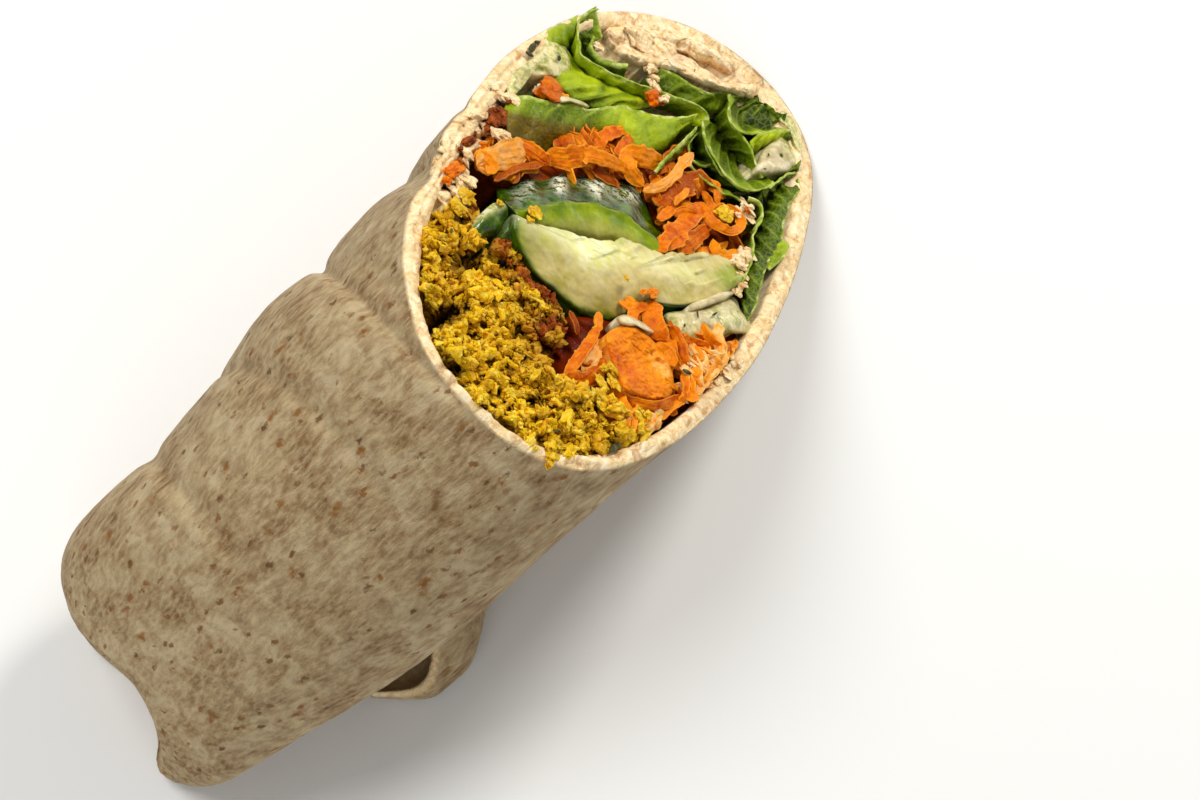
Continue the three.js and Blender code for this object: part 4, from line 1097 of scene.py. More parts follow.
# -------------------- cucumber
# Fresh cucumber sliced thick with its peel on. The front slice is broken along its middle, so its wet
# flesh turns away on one side; the slice behind shows its ribbed, shiny peel; a bit of peel lies below.
def level(out, *places):
    """A guide line that keeps one height: each of its (across, down) places with the same out."""
    return [(across, down, out) for across, down in places]


def guided(guides, along, across):
    """Places through guide lines, each a list of (across, down, out) places on the cut face."""
    lines = np.array([resample(line, along) for line in guides])
    return np.array([resample(column, across) for column in lines.transpose(1, 0, 2)])


def loft(guides, along, across):
    """Points through guide lines, kept inside the wall."""
    places = guided(guides, along, across)
    return hold_in(at(places[..., 0], places[..., 1], places[..., 2]))


def toward_viewer(points):
    """The normals of a grid, on the side that the cut shows."""
    normal = np.cross(np.gradient(points, axis=0), np.gradient(points, axis=1))
    normal /= np.maximum(np.linalg.norm(normal, axis=-1, keepdims=True), LEAST_LENGTH)
    return normal * np.where(np.mean(normal @ RISE) < 0, -1, 1)


def cucumber_material():
    material, shader, place = new_material(
        "cucumber", 0.2, Specular_IOR_Level=0.3, Coat_Weight=0.15, Coat_Roughness=0.1, Subsurface_Weight=0.25,
        Subsurface_Radius=(0.7, 1.0, 0.3), Subsurface_Scale=0.002)
    # The flesh: pale with paler fibres, greener under the peel.
    streaks = grouped(FIBRES, Place=place, Turn=(0.4, 0.1, 0.9), Stretch=(1.0, 0.22, 1.0),
                      Fineness=1000 / 1.5, Detail=4, Roughness=0.6, Twist=0.3)
    flesh = ramp(noise(place, 5, 3), (0.35, 186, 174, 88), (0.6, 214, 196, 126))
    flesh = mix(ramp(streaks, (0.44, 0.0), (0.66, 0.45)), flesh, (234, 222, 172))
    flesh = mix(mark(place, "shaded"), flesh, ramp(noise(place, 3, 3), (0.35, 122, 104, 16),
                                                   (0.65, 158, 142, 52)))
    flesh = mix(mark(place, "under_peel"), flesh,
                ramp(noise(place, 3, 3), (0.35, 104, 130, 0), (0.65, 152, 168, 14)))
    # The peel: dark green, with white glints painted on its ribs as highlights.
    peel = ramp(noise(place, 2.4, 4, 0.6), (0.35, 22, 44, 0), (0.55, 54, 86, 0), (0.75, 108, 134, 0))
    colour = mix(mark(place, "peel"), flesh, peel)
    painted_glints = ramp(noise(place, 0.9, 5, 0.7, 0.4), (0.45, 0.0), (0.5, 1.0))
    colour = mix(times(painted_glints, mark(place, "glint")), colour, (240, 242, 216))
    # Painted highlight: near white where the wet flesh would catch the light.
    painted_light = ramp(streaks, (0.3, 240, 240, 140), (0.7, 254, 252, 216))
    colour = mix(mark(place, "glow"), colour, painted_light)
    grain = mix(0.5, streaks, noise(place, 0.8, 3))
    finish_surface(shader, colour, mix(mark(place, "glint"), grain, noise(place, 1.3, 4, 0.65)), 0.2, 0.8)
    return material


cucumber_finish = cucumber_material()

FRONT_SLICE = [
    (10.3, -9.9), (9.2, -11.4), (7.2, -12.7), (4.4, -13.6), (1.6, -13.8), (-1.4, -12.7), (-4.4, -11.4),
    (-7, -9.8), (-8.9, -6.8), (-9.4, -2.6), (-9, 1.2), (-8.9, 4.6), (-10.6, 5.4), (-12.1, 9), (-12.8, 13),
    (-13.3, 17), (-13.2, 21), (-12.2, 25.2), (-9.2, 25.6), (-7, 22.5), (-5.6, 18), (-4.2, 14), (-2.6, 11),
    (-1, 9.4), (0.4, 7.6), (1.2, 4.4), (3.2, 0.4), (5.2, -3), (7.4, -6.2), (8.8, -8.6),
]
# The line along which it broke, and the stretches of its outline that have peel.
BROKEN_CREST = [(9.6, -9), (4.8, -4.9), (1.2, -0.8), (-1.4, 3.6), (-4.8, 9.2), (-8.6, 15.4), (-12.6, 24)]
FRONT_PEEL_LOW = [(11, -9.4), (9.4, -11.4), (7.2, -12.8), (4.4, -13.8), (1.6, -14), (-1.4, -12.9),
                  (-4.6, -11.5), (-7.4, -9.6), (-9.2, -6.6)]
FRONT_PEEL_SIDE = [(-10.4, 5), (-12.2, 9), (-13, 13), (-13.5, 17.4)]


def front_relief(a, d, share):
    """Highest along the crest, turning away on its broken side, with torn flesh beside the crest."""
    side = -near_line(a, d, BROKEN_CREST)
    turned = 0.4 * (np.sqrt(np.maximum(side, 0) ** 2 + 1.2) - 1.1)
    near = 0.02 * np.maximum(-side, 0)
    p = flat_point(a, d)
    torn = smooth(waves(p * np.array([1.0, 0.35, 1]), 1.2, 71), 0.05, 0.5)
    tear = 0.6 * torn * np.exp(-((side + 1.6) / 2.6) ** 2) * smooth(d, -7, 4)
    fine = uneven(p, (0.22, 5, 72), (0.09, 1.5, 73), (0.05, 0.7, 77))
    return 2.4 - turned - near - 0.03 * d + fine + tear - 0.9 * share ** 40


def front_peel(a, d, share):
    low = np.abs(near_line(a, d, FRONT_PEEL_LOW)) + 0.5 * waves(flat_point(a, d), 1.6, 74)
    side = np.abs(near_line(a, d, FRONT_PEEL_SIDE))
    return np.maximum(1 - smooth(low, 0.8, 1.9), 1 - smooth(side, 0.5, 0.9))


def front_under_peel(a, d, share):
    by_peel = 0.9 * band(a, d, FRONT_PEEL_LOW, 1.5)
    at_foot = 0.75 * smooth(d, 17, 22) * (1 - smooth(a, -10.5, -8.5))
    return by_peel + at_foot + 0.42 * smooth(a, 0.5, 6) + spots(a, d, (1.5, 6.5, 2.5, 3, 0.4))


def front_shaded(a, d, share):
    by_peel = 0.75 * band(a, d, FRONT_PEEL_LOW, 2.4, 0.6) * smooth(d, -13, -8)
    off_crest = smooth(-near_line(a, d, BROKEN_CREST), 4.6, 9)
    return by_peel + 0.5 * off_crest * (1 - smooth(d, 2, 9)) * smooth(d, -9, -5)


# Painted highlight: a bright spot near the middle and a band along the crest.
def front_glow(a, d, share):
    by_crest = 0.45 * band(a, d, BROKEN_CREST, 2.0, 0.6)
    return np.clip(spots(a, d, (0.6, -0.2, 3.0, 4.0, 0.95)) + by_crest * (1 - smooth(d, 15, 20)), 0, 1)


front = Shape()
# Its broken edge is ragged.
front_edge = resample(FRONT_SLICE, 300, closed=True)
broken = smooth(near_line(front_edge[:, 0], front_edge[:, 1], BROKEN_CREST), 0.6, 2)
edge_point = flat_point(front_edge[:, 0], front_edge[:, 1])
ragged = 0.6 * sideways(edge_point, 1.5, 61) + 0.3 * sideways(edge_point, 0.6, 63)
filling(front, front_edge + broken[:, None] * ragged[:, :2], (-4, 5), front_relief, around=300, rings=80,
        depth=16, peel=front_peel, under_peel=front_under_peel, shaded=front_shaded, glow=front_glow)
front.piece("cucumber_front", cucumber_finish, "cucumber", "cucumber_front")

REAR_GUIDES = [
    level(-1.4, (6, -8), (3.4, -3), (0.6, 2), (-1.6, 6.6), (-4, 10.4)),
    [(8.4, -8.8, 1.3), (6.3, -3.6, 1.4), (4.2, 1.4, 1.4), (1.4, 6.6, 1.3), (-3.4, 11, 0.8)],
    [(10.2, -9.4, 2), (9.5, -5, 2.2), (8.9, -1, 2.2), (8.1, 2.4, 2), (6.9, 5.4, 2), (5.3, 8, 1.8),
     (3.6, 10.2, 1.6), (0.8, 11.8, 1.4), (-3, 12.8, 1)],
    [(12.6, -9.9, 0.6), (12.4, -5, 0.8), (12.1, -0.6, 0.8), (11.2, 3.4, 0.6), (10, 7, 0.5), (8.4, 10.6, 0.4),
     (6.4, 13.4, 0.2), (2.4, 14.6, 0), (-3, 13.6, 0)],
    level(-3, (14.9, -9.6), (14.9, -5), (14.5, 0), (13.6, 4.2), (12.5, 8.2), (11.3, 11.8), (9.3, 15.2),
          (4.4, 17.1), (-3.2, 14.4)),
    level(-9, (14.6, -9.4), (14.8, -5), (14.5, 0), (13.6, 4.2), (12.5, 8.2), (11.2, 11.8), (9.3, 15),
          (4.4, 16.9), (-3, 14.2)),
]
PEEL_EDGE = 2
RIBS_ALONG = 5.2
REAR_SIZE = (170, 90)
REAR_THICK = 7.0
rear_places = guided(REAR_GUIDES, *REAR_SIZE)
past_edge = near_line(rear_places[..., 0], rear_places[..., 1],
                      [place[:2] for place in REAR_GUIDES[PEEL_EDGE]])
past_edge = past_edge * np.sign(np.mean(past_edge[:, -1]))
on_peel = smooth(past_edge, -0.15, 0.5)
along_rear = np.linspace(0, 1, REAR_SIZE[0])[:, None] * np.ones(REAR_SIZE[1])
ribs = 0.22 * np.cos(along_rear * 2 * math.pi * RIBS_ALONG + 0.7) * on_peel
rear_grid = loft(REAR_GUIDES, *REAR_SIZE)
rear_relief = (ribs + 0.10 * waves(rear_grid, 1.6, 75) + 0.05 * waves(rear_grid, 0.6, 76)
               + 0.35 * np.exp(-(past_edge / 0.5) ** 2))
rear_grid = rear_grid + toward_viewer(rear_grid) * rear_relief[..., None]
# Places on the ribs where white glints are painted, as (across, down, strength), all of one size.
GLINT_SIZE = (1.5, 1.3)
GLINTS = [
    (12.9, -6.4, 1), (13.1, -3.2, 0.7), (12.4, 2.8, 1), (11.6, 1.4, 0.9), (10.9, 7.4, 1), (9.6, 10.6, 1),
    (8.6, 8.4, 0.8), (7.8, 13, 0.9), (6.2, 14.6, 0.8), (7.2, 11.4, 0.6),
]
glints = spots(rear_places[..., 0], rear_places[..., 1],
               *((x, y, *GLINT_SIZE, strong) for x, y, strong in GLINTS))
rear = Shape()
rear.sheet(rear_grid, follow(rear_grid, rear_grid[..., 0] - REAR_THICK), peel=(on_peel, 1),
           under_peel=(np.exp(-np.maximum(0, -past_edge - 1.4) / 3.6), 0), shaded=(0.25 * (1 - on_peel), 0),
           glint=(np.clip(glints, 0, 1) * on_peel * (0.35 + 0.65 * smooth(ribs, -0.05, 0.15)), 0))
rear.piece("cucumber_rear", cucumber_finish, "cucumber", "cucumber_rear")

SMALL_GUIDES = [
    [(12.9, -9.9, 0.4), (12.7, -12.5, 0.9), (12.2, -15.6, 0.7), (11.6, -18, 0.2)],
    [(11.4, -10, 1.2), (11.5, -12.6, 1.6), (11, -16, 1.3), (10.4, -19.6, 0.4)],
    [(9.8, -11.6, 0.4), (9.4, -13.8, 0.6), (9.2, -16.6, 0.4), (9, -19.6, -0.2)],
    level(-3, (8.6, -12.8), (8.4, -14.4), (8.4, -16.6), (8.6, -19)),
]
SMALL_SIZE = (60, 36)
SMALL_THICK = 1.8
small_grid = loft(SMALL_GUIDES, *SMALL_SIZE)
small_relief = uneven(small_grid, (0.2, 2, 78), (0.08, 0.8, 79))
small_grid = small_grid + toward_viewer(small_grid) * small_relief[..., None]
from_peel = np.linspace(0, 1, SMALL_SIZE[1])
small = Shape()
# A band of white glints is painted along its peel edge.
small.sheet(small_grid, small_grid - RISE * SMALL_THICK, peel=(smooth(from_peel, 0.08, 0.3), 1),
            under_peel=(0.6, 0.6), glint=(0.6 * np.exp(-((from_peel - 0.05) / 0.1) ** 2), 0), shaded=(0, 0))
small.piece("cucumber_small", cucumber_finish, "cucumber", "cucumber_small")

# -------------------- carrots
# Raw carrot, coarsely grated: soft torn shreds, bent and folded over each other, paler at their torn
# edges, with shade painted dark red in the gaps between them. One heap lies between the cucumber and the
# lettuce, one beside the falafel.
SHRED_ACROSS = 13
SHRED_TAPER = 0.16
SHRED_STEP = 0.34
SHRED_STEPS = (12, 60)


def torn_side(along, ends, first, second, seed):
    """How far one torn side of a shred reaches, with fibres standing out of it here and there."""
    return (ends * (0.9 + 0.26 * waves(along, first, seed)
                    + 0.4 * np.maximum(0, waves(along, second, seed + 1)) - 0.12))


def shred(shape, line, width, tilt, thick=0.5, seed=0, tone=0.0):
    """One torn shred along a line of (across, down, out) places, turned by tilt about its length."""
    length = sum(math.dist(a, b) for a, b in zip(line, line[1:]))
    count = int(np.clip(length / SHRED_STEP, *SHRED_STEPS))
    spine = inside_wall(resample(line, count), 0.3 + width / 2)
    middle = at(spine[:, 0], spine[:, 1], spine[:, 2])
    run = np.gradient(middle, axis=0)
    run /= np.linalg.norm(run, axis=1, keepdims=True)
    side = np.cross(run, unit(RISE))
    side /= np.maximum(np.linalg.norm(side, axis=1, keepdims=True), NEXT_TO_NONE)
    up = np.cross(side, run)
    side, up = side * math.cos(tilt) + up * math.sin(tilt), up * math.cos(tilt) - side * math.sin(tilt)
    share = np.linspace(0, 1, count)
    t = np.linspace(-1, 1, SHRED_ACROSS)
    ends = np.clip(np.minimum(share, 1 - share) / SHRED_TAPER, 0, 1) ** 0.5
    along = np.stack([share * length, np.full(count, seed * 1.7), 0 * share], -1)
    left = torn_side(along, ends, 2.2, 0.7, seed)
    right = torn_side(along, ends, 2.4, 0.8, seed + 2)
    reach = np.where(t[None, :] < 0, left[:, None], right[:, None]) * t * width / 2
    front = hold_in(middle[:, None] + side[:, None] * reach[..., None])
    grooves = np.stack(np.broadcast_arrays(share[:, None] * length / 5, t * width, seed), -1)
    lift = (0.1 * (1 - t ** 2)[None, :] * width / 3 + 0.3 * np.abs(waves(front, 2.4, seed + 4))
            + 0.14 * waves(front, 1.0, seed + 5) + 0.1 * waves(front, 0.5, seed + 6)
            + 0.1 * waves(grooves, 0.55, seed + 7))
    front = front + up[:, None] * lift[..., None]
    body = thick * (0.5 + 0.5 * (1 - np.abs(t) ** 3))[None, :] * (0.4 + 0.6 * ends[:, None])
    edge = np.maximum(np.abs(t)[None, :] ** 5, (1 - ends[:, None]) ** 1.5)
    shape.sheet(front, front - up[:, None] * body[..., None], edge=(edge, edge * 0.3), tone=(tone, tone))


def carrot_material():
    material, shader, place = new_material(
        "carrot", 0.34, Specular_IOR_Level=0.1, Subsurface_Weight=0.1, Subsurface_Radius=(1.0, 0.45, 0.05),
        Subsurface_Scale=0.0012)
    flesh = ramp(noise(place, 2.2, 5, 0.65, 0.6), (0.3, 176, 62, 0), (0.45, 210, 94, 0), (0.58, 230, 120, 0),
                 (0.74, 248, 156, 8))
    threads = grouped(FIBRES, Place=place, Turn=(0.3, 0.7, 0.2), Stretch=(0.4, 1.3, 1.0), Fineness=1000 / 0.9,
                      Detail=4, Roughness=0.65, Twist=0.5)
    flesh = mix(ramp(threads, (0.5, 0.0), (0.72, 0.5)), flesh, (240, 152, 30))
    tone = mark(place, "tone")
    flesh = mix(ramp(tone, (0.0, 0.0), (0.6, 0.6)), flesh, (252, 164, 24))
    creamy = ramp(noise(place, 1.5, 4, 0.6), (0.4, 250, 172, 60), (0.58, 248, 218, 156))
    flesh = mix(ramp(tone, (0.6, 0.0), (1.0, 0.85)), flesh, creamy)
    # Below zero the mark darkens the flesh to red brown: partly a shred's own tone, partly painted shade.
    deep = add_node(place.id_data, "Math", {0: tone, 1: -1.0}, operation="MULTIPLY", use_clamp=True)
    flesh = mix(deep.outputs[0], flesh, (110, 30, 0))
    colour = mix(ramp(mark(place, "edge"), (0.3, 0.0), (1.0, 0.5)), flesh, (252, 178, 60))
    finish_surface(shader, colour, mix(0.6, threads, noise(place, 0.5, 3, 0.6)), 0.22, 0.8)
    return material


carrot_finish = carrot_material()
CORE_UPPER = [
    (21.4, -9.6), (21.8, -4), (21, 2), (17.6, 6), (18.6, 11), (17, 17), (16, 24.2), (12, 27), (9.6, 33),
    (5, 33.4), (0, 33.6), (-5, 35), (-8.6, 31), (-11.6, 27), (-7.6, 22), (-5.6, 15), (-2.8, 12), (2, 16),
    (8, 16.6), (12, 10), (14, 4), (15, -3), (15.6, -9.6),
]
CORE_LOWER = [
    (-8.6, 5.4), (-8.6, 0), (-7.2, -9), (-6, -12), (-6.4, -15), (-9, -18.6), (-12, -22.4), (-15.4, -23),
    (-17.4, -17), (-20.6, -14.8), (-22.4, -10), (-25.4, -11.6), (-25.4, -3), (-23.6, 6), (-21.4, 15.4),
    (-19.6, 16), (-18.6, 9), (-14, 4.8),
]
wall_line = (edge_in - CUT_MIDDLE) @ np.stack([ACROSS, DOWN], 1)
FACE_MIDDLE = np.array([0.0, 8.0])


def inside_wall(points, margin):
    """Draws (across, down, ...) points toward the middle until they lie this far inside the wall."""
    away = points[:, :2] - FACE_MIDDLE
    way = np.arctan2(away[:, 1], away[:, 0])
    to_wall = wall_line - FACE_MIDDLE
    wall_way = np.arctan2(to_wall[:, 1], to_wall[:, 0])
    order = np.argsort(wall_way)
    room = (np.interp(way, wall_way[order], np.linalg.norm(to_wall, axis=1)[order], period=2 * math.pi)
            - margin)
    share = np.minimum(1, room / np.maximum(np.linalg.norm(away, axis=1), NEXT_TO_NONE))
    return np.concatenate([FACE_MIDDLE + away * share[:, None], points[:, 2:]], 1)


# Shreds on top, each as (width, tilt, tone and shade, places along it). A place is (across, down, out).
# The tone goes from -1, dark, to 1, pale; it is partly the shred's own colour and partly painted shade.
SHREDS_UPPER = [
    (4.8, -0.2, 0.75, (18.9, -10.2, 0.6), (18.7, -6, 1.4), (18.3, -2, 1.2), (18, 0.8, 0.2)),
    (1.6, 0.5, -0.55, (15.9, -9, 0.2), (16.3, -4, 0.6), (15.4, 2.2, 0.2)),
    (3, 0.2, 0.05, (20.4, -0.8, 0.4), (18.2, 1.6, 1), (15, 3.4, 0.4)),
    (3.8, -0.15, 0.12, (16.4, 3.2, 0), (14.9, 7.4, 1.2), (14, 11.5, 1.3), (12.6, 15.4, 0.6)),
    (2.6, 0.3, 0.3, (15.4, 8.6, 0.9), (13.4, 12.4, 2), (11.2, 15.8, 1.6), (9.4, 17.4, 0.8)),
    (3.6, 0.2, -0.35, (18.7, 9.6, -0.6), (17.2, 9, 0), (15.6, 8.2, -0.4)),
    (2.6, -0.35, 0, (15.2, 24.4, 0), (16, 20, 0.7), (15.4, 16.4, 0.5), (14, 14, 0)),
    (2.2, 0.3, -0.1, (13.8, 23.4, 0), (13.4, 20, 0.9), (12.2, 17.4, 0.6)),
    (3.2, 0.1, 0.4, (8.9, 25.6, 0.2), (10.2, 22.4, 1.2), (11.6, 19.8, 1.5), (9.6, 17.6, 1.2),
     (6.6, 18.2, 0.4)),
    (2.1, 0.15, 0.7, (8.1, 32.6, 1.2), (7.3, 29.6, 2), (6.2, 26, 1.8), (5.4, 22, 1.2), (5.9, 17.4, 0.4)),
    (4.4, -0.25, -0.5, (2, 32.2, -0.8), (4.4, 28.6, 0.2), (3.9, 24, 0.4), (3.4, 18, -0.2)),
    (1.2, 0.1, 0.45, (3.4, 26.8, 1.2), (2.7, 24, 1.7), (2, 21.4, 1.2)),
    (2.6, 0.3, -0.45, (4.4, 21.2, 0.2), (2, 19.6, 0.3), (1.8, 17, 0)),
    (3.8, -0.1, -0.05, (0.6, 28, 0.2), (-0.6, 23.4, 1.2), (-2, 18, 1.8), (-3.2, 13.2, 1)),
    (3.4, 0.25, -0.15, (-3.2, 25.4, 0.2), (-3.9, 20.6, 1.4), (-4.4, 15.6, 1)),
    (1.9, -0.3, 0.15, (1.9, 21.4, 0.4), (1.2, 18.6, 1.1), (1.3, 16.2, 0.6)),
    (1.8, 0.2, 0.2, (-0.6, 24.8, 1), (0.7, 22.6, 1.3), (0.6, 20, 0.8)),
    (1.9, 0.1, 0.5, (-5, 24.6, 0.4), (-7, 23.4, 1.2), (-8.3, 25.2, 1.2), (-8, 27.8, 0.6)),
    (1.7, 0.3, 0.3, (-5.4, 21.4, 0.6), (-7, 20.4, 1), (-8.2, 22.2, 0.4)),
    (1.9, 0.1, 0.25, (0.8, 27.2, 0.6), (-2.3, 26.8, 1.6), (-5, 28.6, 1.9), (-5.3, 31.4, 1.6),
     (-3.6, 33.2, 0.8), (-1, 32.6, 0.2)),
    (2.4, 0.2, -0.2, (-0.8, 29.4, 0), (-2.2, 30.8, 0.3), (-3.4, 30, 0)),
    (2.4, 0.5, -0.5, (9.4, 33, -1.5), (9.4, 29, -1), (8.4, 25.4, -1)),
    (2.6, -0.2, 0.1, (-1.4, 16.4, 0.8), (-2.6, 14, 1.6), (-3.4, 12.2, 1.2)),
    (1.8, 0.1, 0.5, (17, -9.4, 1.2), (17.6, -7.4, 1.7), (19.6, -7.6, 1.6), (20.2, -9.6, 0.8)),
]
SHREDS_LOWER = [
    (4, 0.15, 0.1, (-9.4, 4.6, 0.4), (-11.4, 2.6, 1.4), (-13.4, 1.6, 1.2), (-14.6, 0, 0.4)),
    (1.8, -0.3, -0.1, (-9.3, 3, 0.4), (-9.7, -0.2, 1), (-10.8, -2.4, 0.6)),
    (1.9, -0.35, -0.1, (-9.4, -8.8, 0.6), (-11, -13, 1.3), (-12.2, -16.8, 1.1), (-13.4, -20.4, 0.3)),
    (2.3, 0.2, 0.85, (-11, -10, 0), (-12.8, -13.4, 0.6), (-14.2, -17, 0.2)),
    (2.8, 0.1, -0.3, (-13, -12, 0.2), (-15, -15, 0.8), (-14.8, -19, 0.7), (-13.6, -22.4, 0.2)),
    (1.7, 0.3, -0.25, (-23.2, -2.8, 0.6), (-23, -7, 1.4), (-21, -11.4, 1.2), (-18.6, -14.4, 0.6),
     (-18, -18, 0)),
    (1.7, -0.2, 0.45, (-23.4, 0, 0.2), (-23.9, -4.2, 0.7), (-24.2, -8, 0.4), (-23.8, -10.8, 0)),
    (2.4, -0.1, 0.75, (-20.9, 14.6, 0), (-21.4, 10, 0.8), (-20.6, 5.4, 1), (-19, 1.6, 0.6)),
    (2.2, 0.3, 0.6, (-22.3, 10.4, 0), (-23.5, 5, 0.9), (-23.2, 0, 0.9)),
    (1.6, 0.2, 0.85, (-18.4, 8.8, 0.4), (-20.2, 7.4, 1.2), (-21.8, 8.6, 0.9)),
    (1.9, -0.2, 0.5, (-17, 4.6, 0.4), (-19, 5.6, 1.2), (-20.6, 4.2, 1)),
    (2.2, 0.1, 0.55, (-14.6, 3.6, 0), (-16.6, 2.2, 0.9), (-18.8, 1.8, 0.9), (-20.8, 2.8, 0.4)),
    (2, 0.1, 0.35, (-15, -1, 0.6), (-17, 0.6, 1.2), (-19.2, 0, 1)),
    (1.9, -0.2, 0.3, (-21, -0.4, 0.6), (-22.6, 1.6, 1.1), (-22.2, 4, 0.6)),
    (1.9, 0.3, -0.35, (-16.8, -12.8, 0.2), (-18.2, -15.8, 0.7), (-17, -18.8, 0.3)),
]


def heap_base(deep):
    """The core that the shreds lie on, painted dark as the shade between them."""
    def relief(a, d, share):
        p = flat_point(a, d)
        return deep + 1.1 * waves(p, 3.4, 81) + 0.5 * waves(p, 1.4, 82) - 1.5 * share ** 10
    return relief


OUTLINE_PLACES = 160
LINE_PLACES = 4


def fill_in(shape, region, middle, count, seed, floor, paler=lambda a, d: 0.0):
    """Small shreds at random over the rest of a heap."""
    dice = np.random.default_rng(seed)
    outline = resample(region, OUTLINE_PLACES, closed=True)
    for number in range(count):
        edge = outline[dice.integers(OUTLINE_PLACES)]
        share = math.sqrt(dice.uniform(0.02, 0.92))
        start = np.array(middle) * (1 - share) + edge * share
        heading = math.atan2(middle[1] - start[1], middle[0] - start[0]) + dice.uniform(-2.0, 2.0)
        bend = dice.uniform(-0.5, 0.5)
        length = dice.uniform(3.2, 7.0)
        line = []
        for step in range(LINE_PLACES):
            out = floor + dice.uniform(-0.4, 0.7) + 0.5 * math.sin(step)
            line.append((start[0], start[1], out))
            start = start + length / (LINE_PLACES - 1) * np.array([math.cos(heading), math.sin(heading)])
            heading += bend
        width, tilt = dice.uniform(0.8, 2.3), dice.uniform(-0.9, 0.9)
        # Shreds that lie lower are painted darker, as shade; the rest of the tone is random.
        tone = float(np.clip(dice.normal(-0.1, 0.35) + 0.3 * (out - floor), -0.8, 0.6)) + paler(*line[1][:2])
        shred(shape, line, width, tilt, seed=200 + seed + number * 3, tone=tone)


# The parts of the upper heap that small shreds fill, each as (outline, middle, number of shreds).
HEAP_PARTS = [
    ([(21, -9.6), (21.4, -3), (20.4, 1), (15.6, 3), (15.6, -4), (15.8, -9.4)], (18.4, -4), 22),
    ([(17.6, 6), (18, 11), (16, 17), (15.8, 23), (12.6, 25), (11, 19), (12.6, 12), (14.4, 6)],
     (14.6, 14), 36),
    ([(10, 26), (9, 31), (6, 32), (3, 32), (0, 32), (-5, 33), (-7.6, 29), (-7, 22), (-5, 15), (0, 17),
      (6, 18)], (1.4, 24), 46),
]
upper = Shape()
# The core's low tone paints the shade beneath the shreds.
filling(upper, CORE_UPPER, (8, 20), heap_base(-2.6), around=260, rings=36, depth=20, tone=-0.85, edge=0)
for number, (width, tilt, tone, *line) in enumerate(SHREDS_UPPER):
    shred(upper, line, width, tilt, seed=100 + number * 5, tone=tone)
for region, middle, count in HEAP_PARTS:
    fill_in(upper, region, middle, count, seed=7 + count, floor=-0.9)
upper.piece("carrot_upper", carrot_finish, "carrot", "carrot_upper", flat=True)

lower = Shape()
# The core's low tone paints the shade beneath the shreds.
filling(lower, CORE_LOWER, (-16.6, -5), heap_base(-1.8), around=240, rings=36, depth=20, tone=-1, edge=0)
for number, (width, tilt, tone, *line) in enumerate(SHREDS_LOWER):
    shred(lower, line, width, tilt, seed=300 + number * 5, tone=tone)
fill_in(lower, CORE_LOWER, (-17, -4), 60, seed=31, floor=-0.5)
fill_in(lower, [(-25, -3), (-23.4, 6), (-21, 14.6), (-18.6, 12), (-19.4, 4), (-21, -2)], (-21.8, 6), 54,
        seed=47, floor=0.7, paler=lambda a, d: spots(a, d, (-22.6, 6, 3.4, 8, 1.3)))
fill_in(lower, [(-25.6, -13), (-22.4, -14.6), (-20.4, -14.4), (-20.8, -11.4), (-24, -7.6), (-25.8, -7)],
        (-22.8, -11.8), 18, seed=63, floor=0.0, paler=lambda a, d: 0.75)
# A broad round shred lies flat on top of the others.
DISC = [(-10.6, -4.6), (-12, -1.6), (-15, -0.4), (-18.6, -0.6), (-21.6, -2.6), (-22.6, -5.6), (-21.4, -9),
        (-18.8, -11.8), (-16.4, -11.2), (-13, -10), (-10.8, -8.4)]

DISC_FIBRES = np.array([[0.9, 0.45, 0], [-0.225, 0.45, 0], [0, 0, 1]])


def disc_relief(a, d, share):
    p = flat_point(a, d)
    buckled = 1.5 + 0.7 * share ** 2 + uneven(p, (0.5, 3.6, 84), (0.15, 0.4, 87))
    fibres = uneven(p @ DISC_FIBRES, (0.45, 1.7, 85), (0.22, 0.7, 86))
    return buckled + fibres - 1.2 * share ** 16 - 0.05 * (d + 6)


filling(lower, DISC, (-16.8, -6), disc_relief, around=180, rings=50, depth=2,
        tone=lambda a, d, share: 0.3 + spots(a, d, (-18, -2.4, 3, 2.2, 0.6), (-16, -9, 3.4, 1.8, -0.4)),
        edge=lambda a, d, share: share ** 14)
lower.piece("carrot_lower", carrot_finish, "carrot", "carrot_lower", flat=True)

# -------------------- lettuce
# Green leaf lettuce, folded together at one side of the wrap and cut through: thin, crinkled, pale
# along the cut edge. Light is painted on the faces where the light reaches, and shade in the hollows
# between the folds.
# How much painted light the backs of the leaves get.
BACK_PAINTED_LIGHT = 0.2


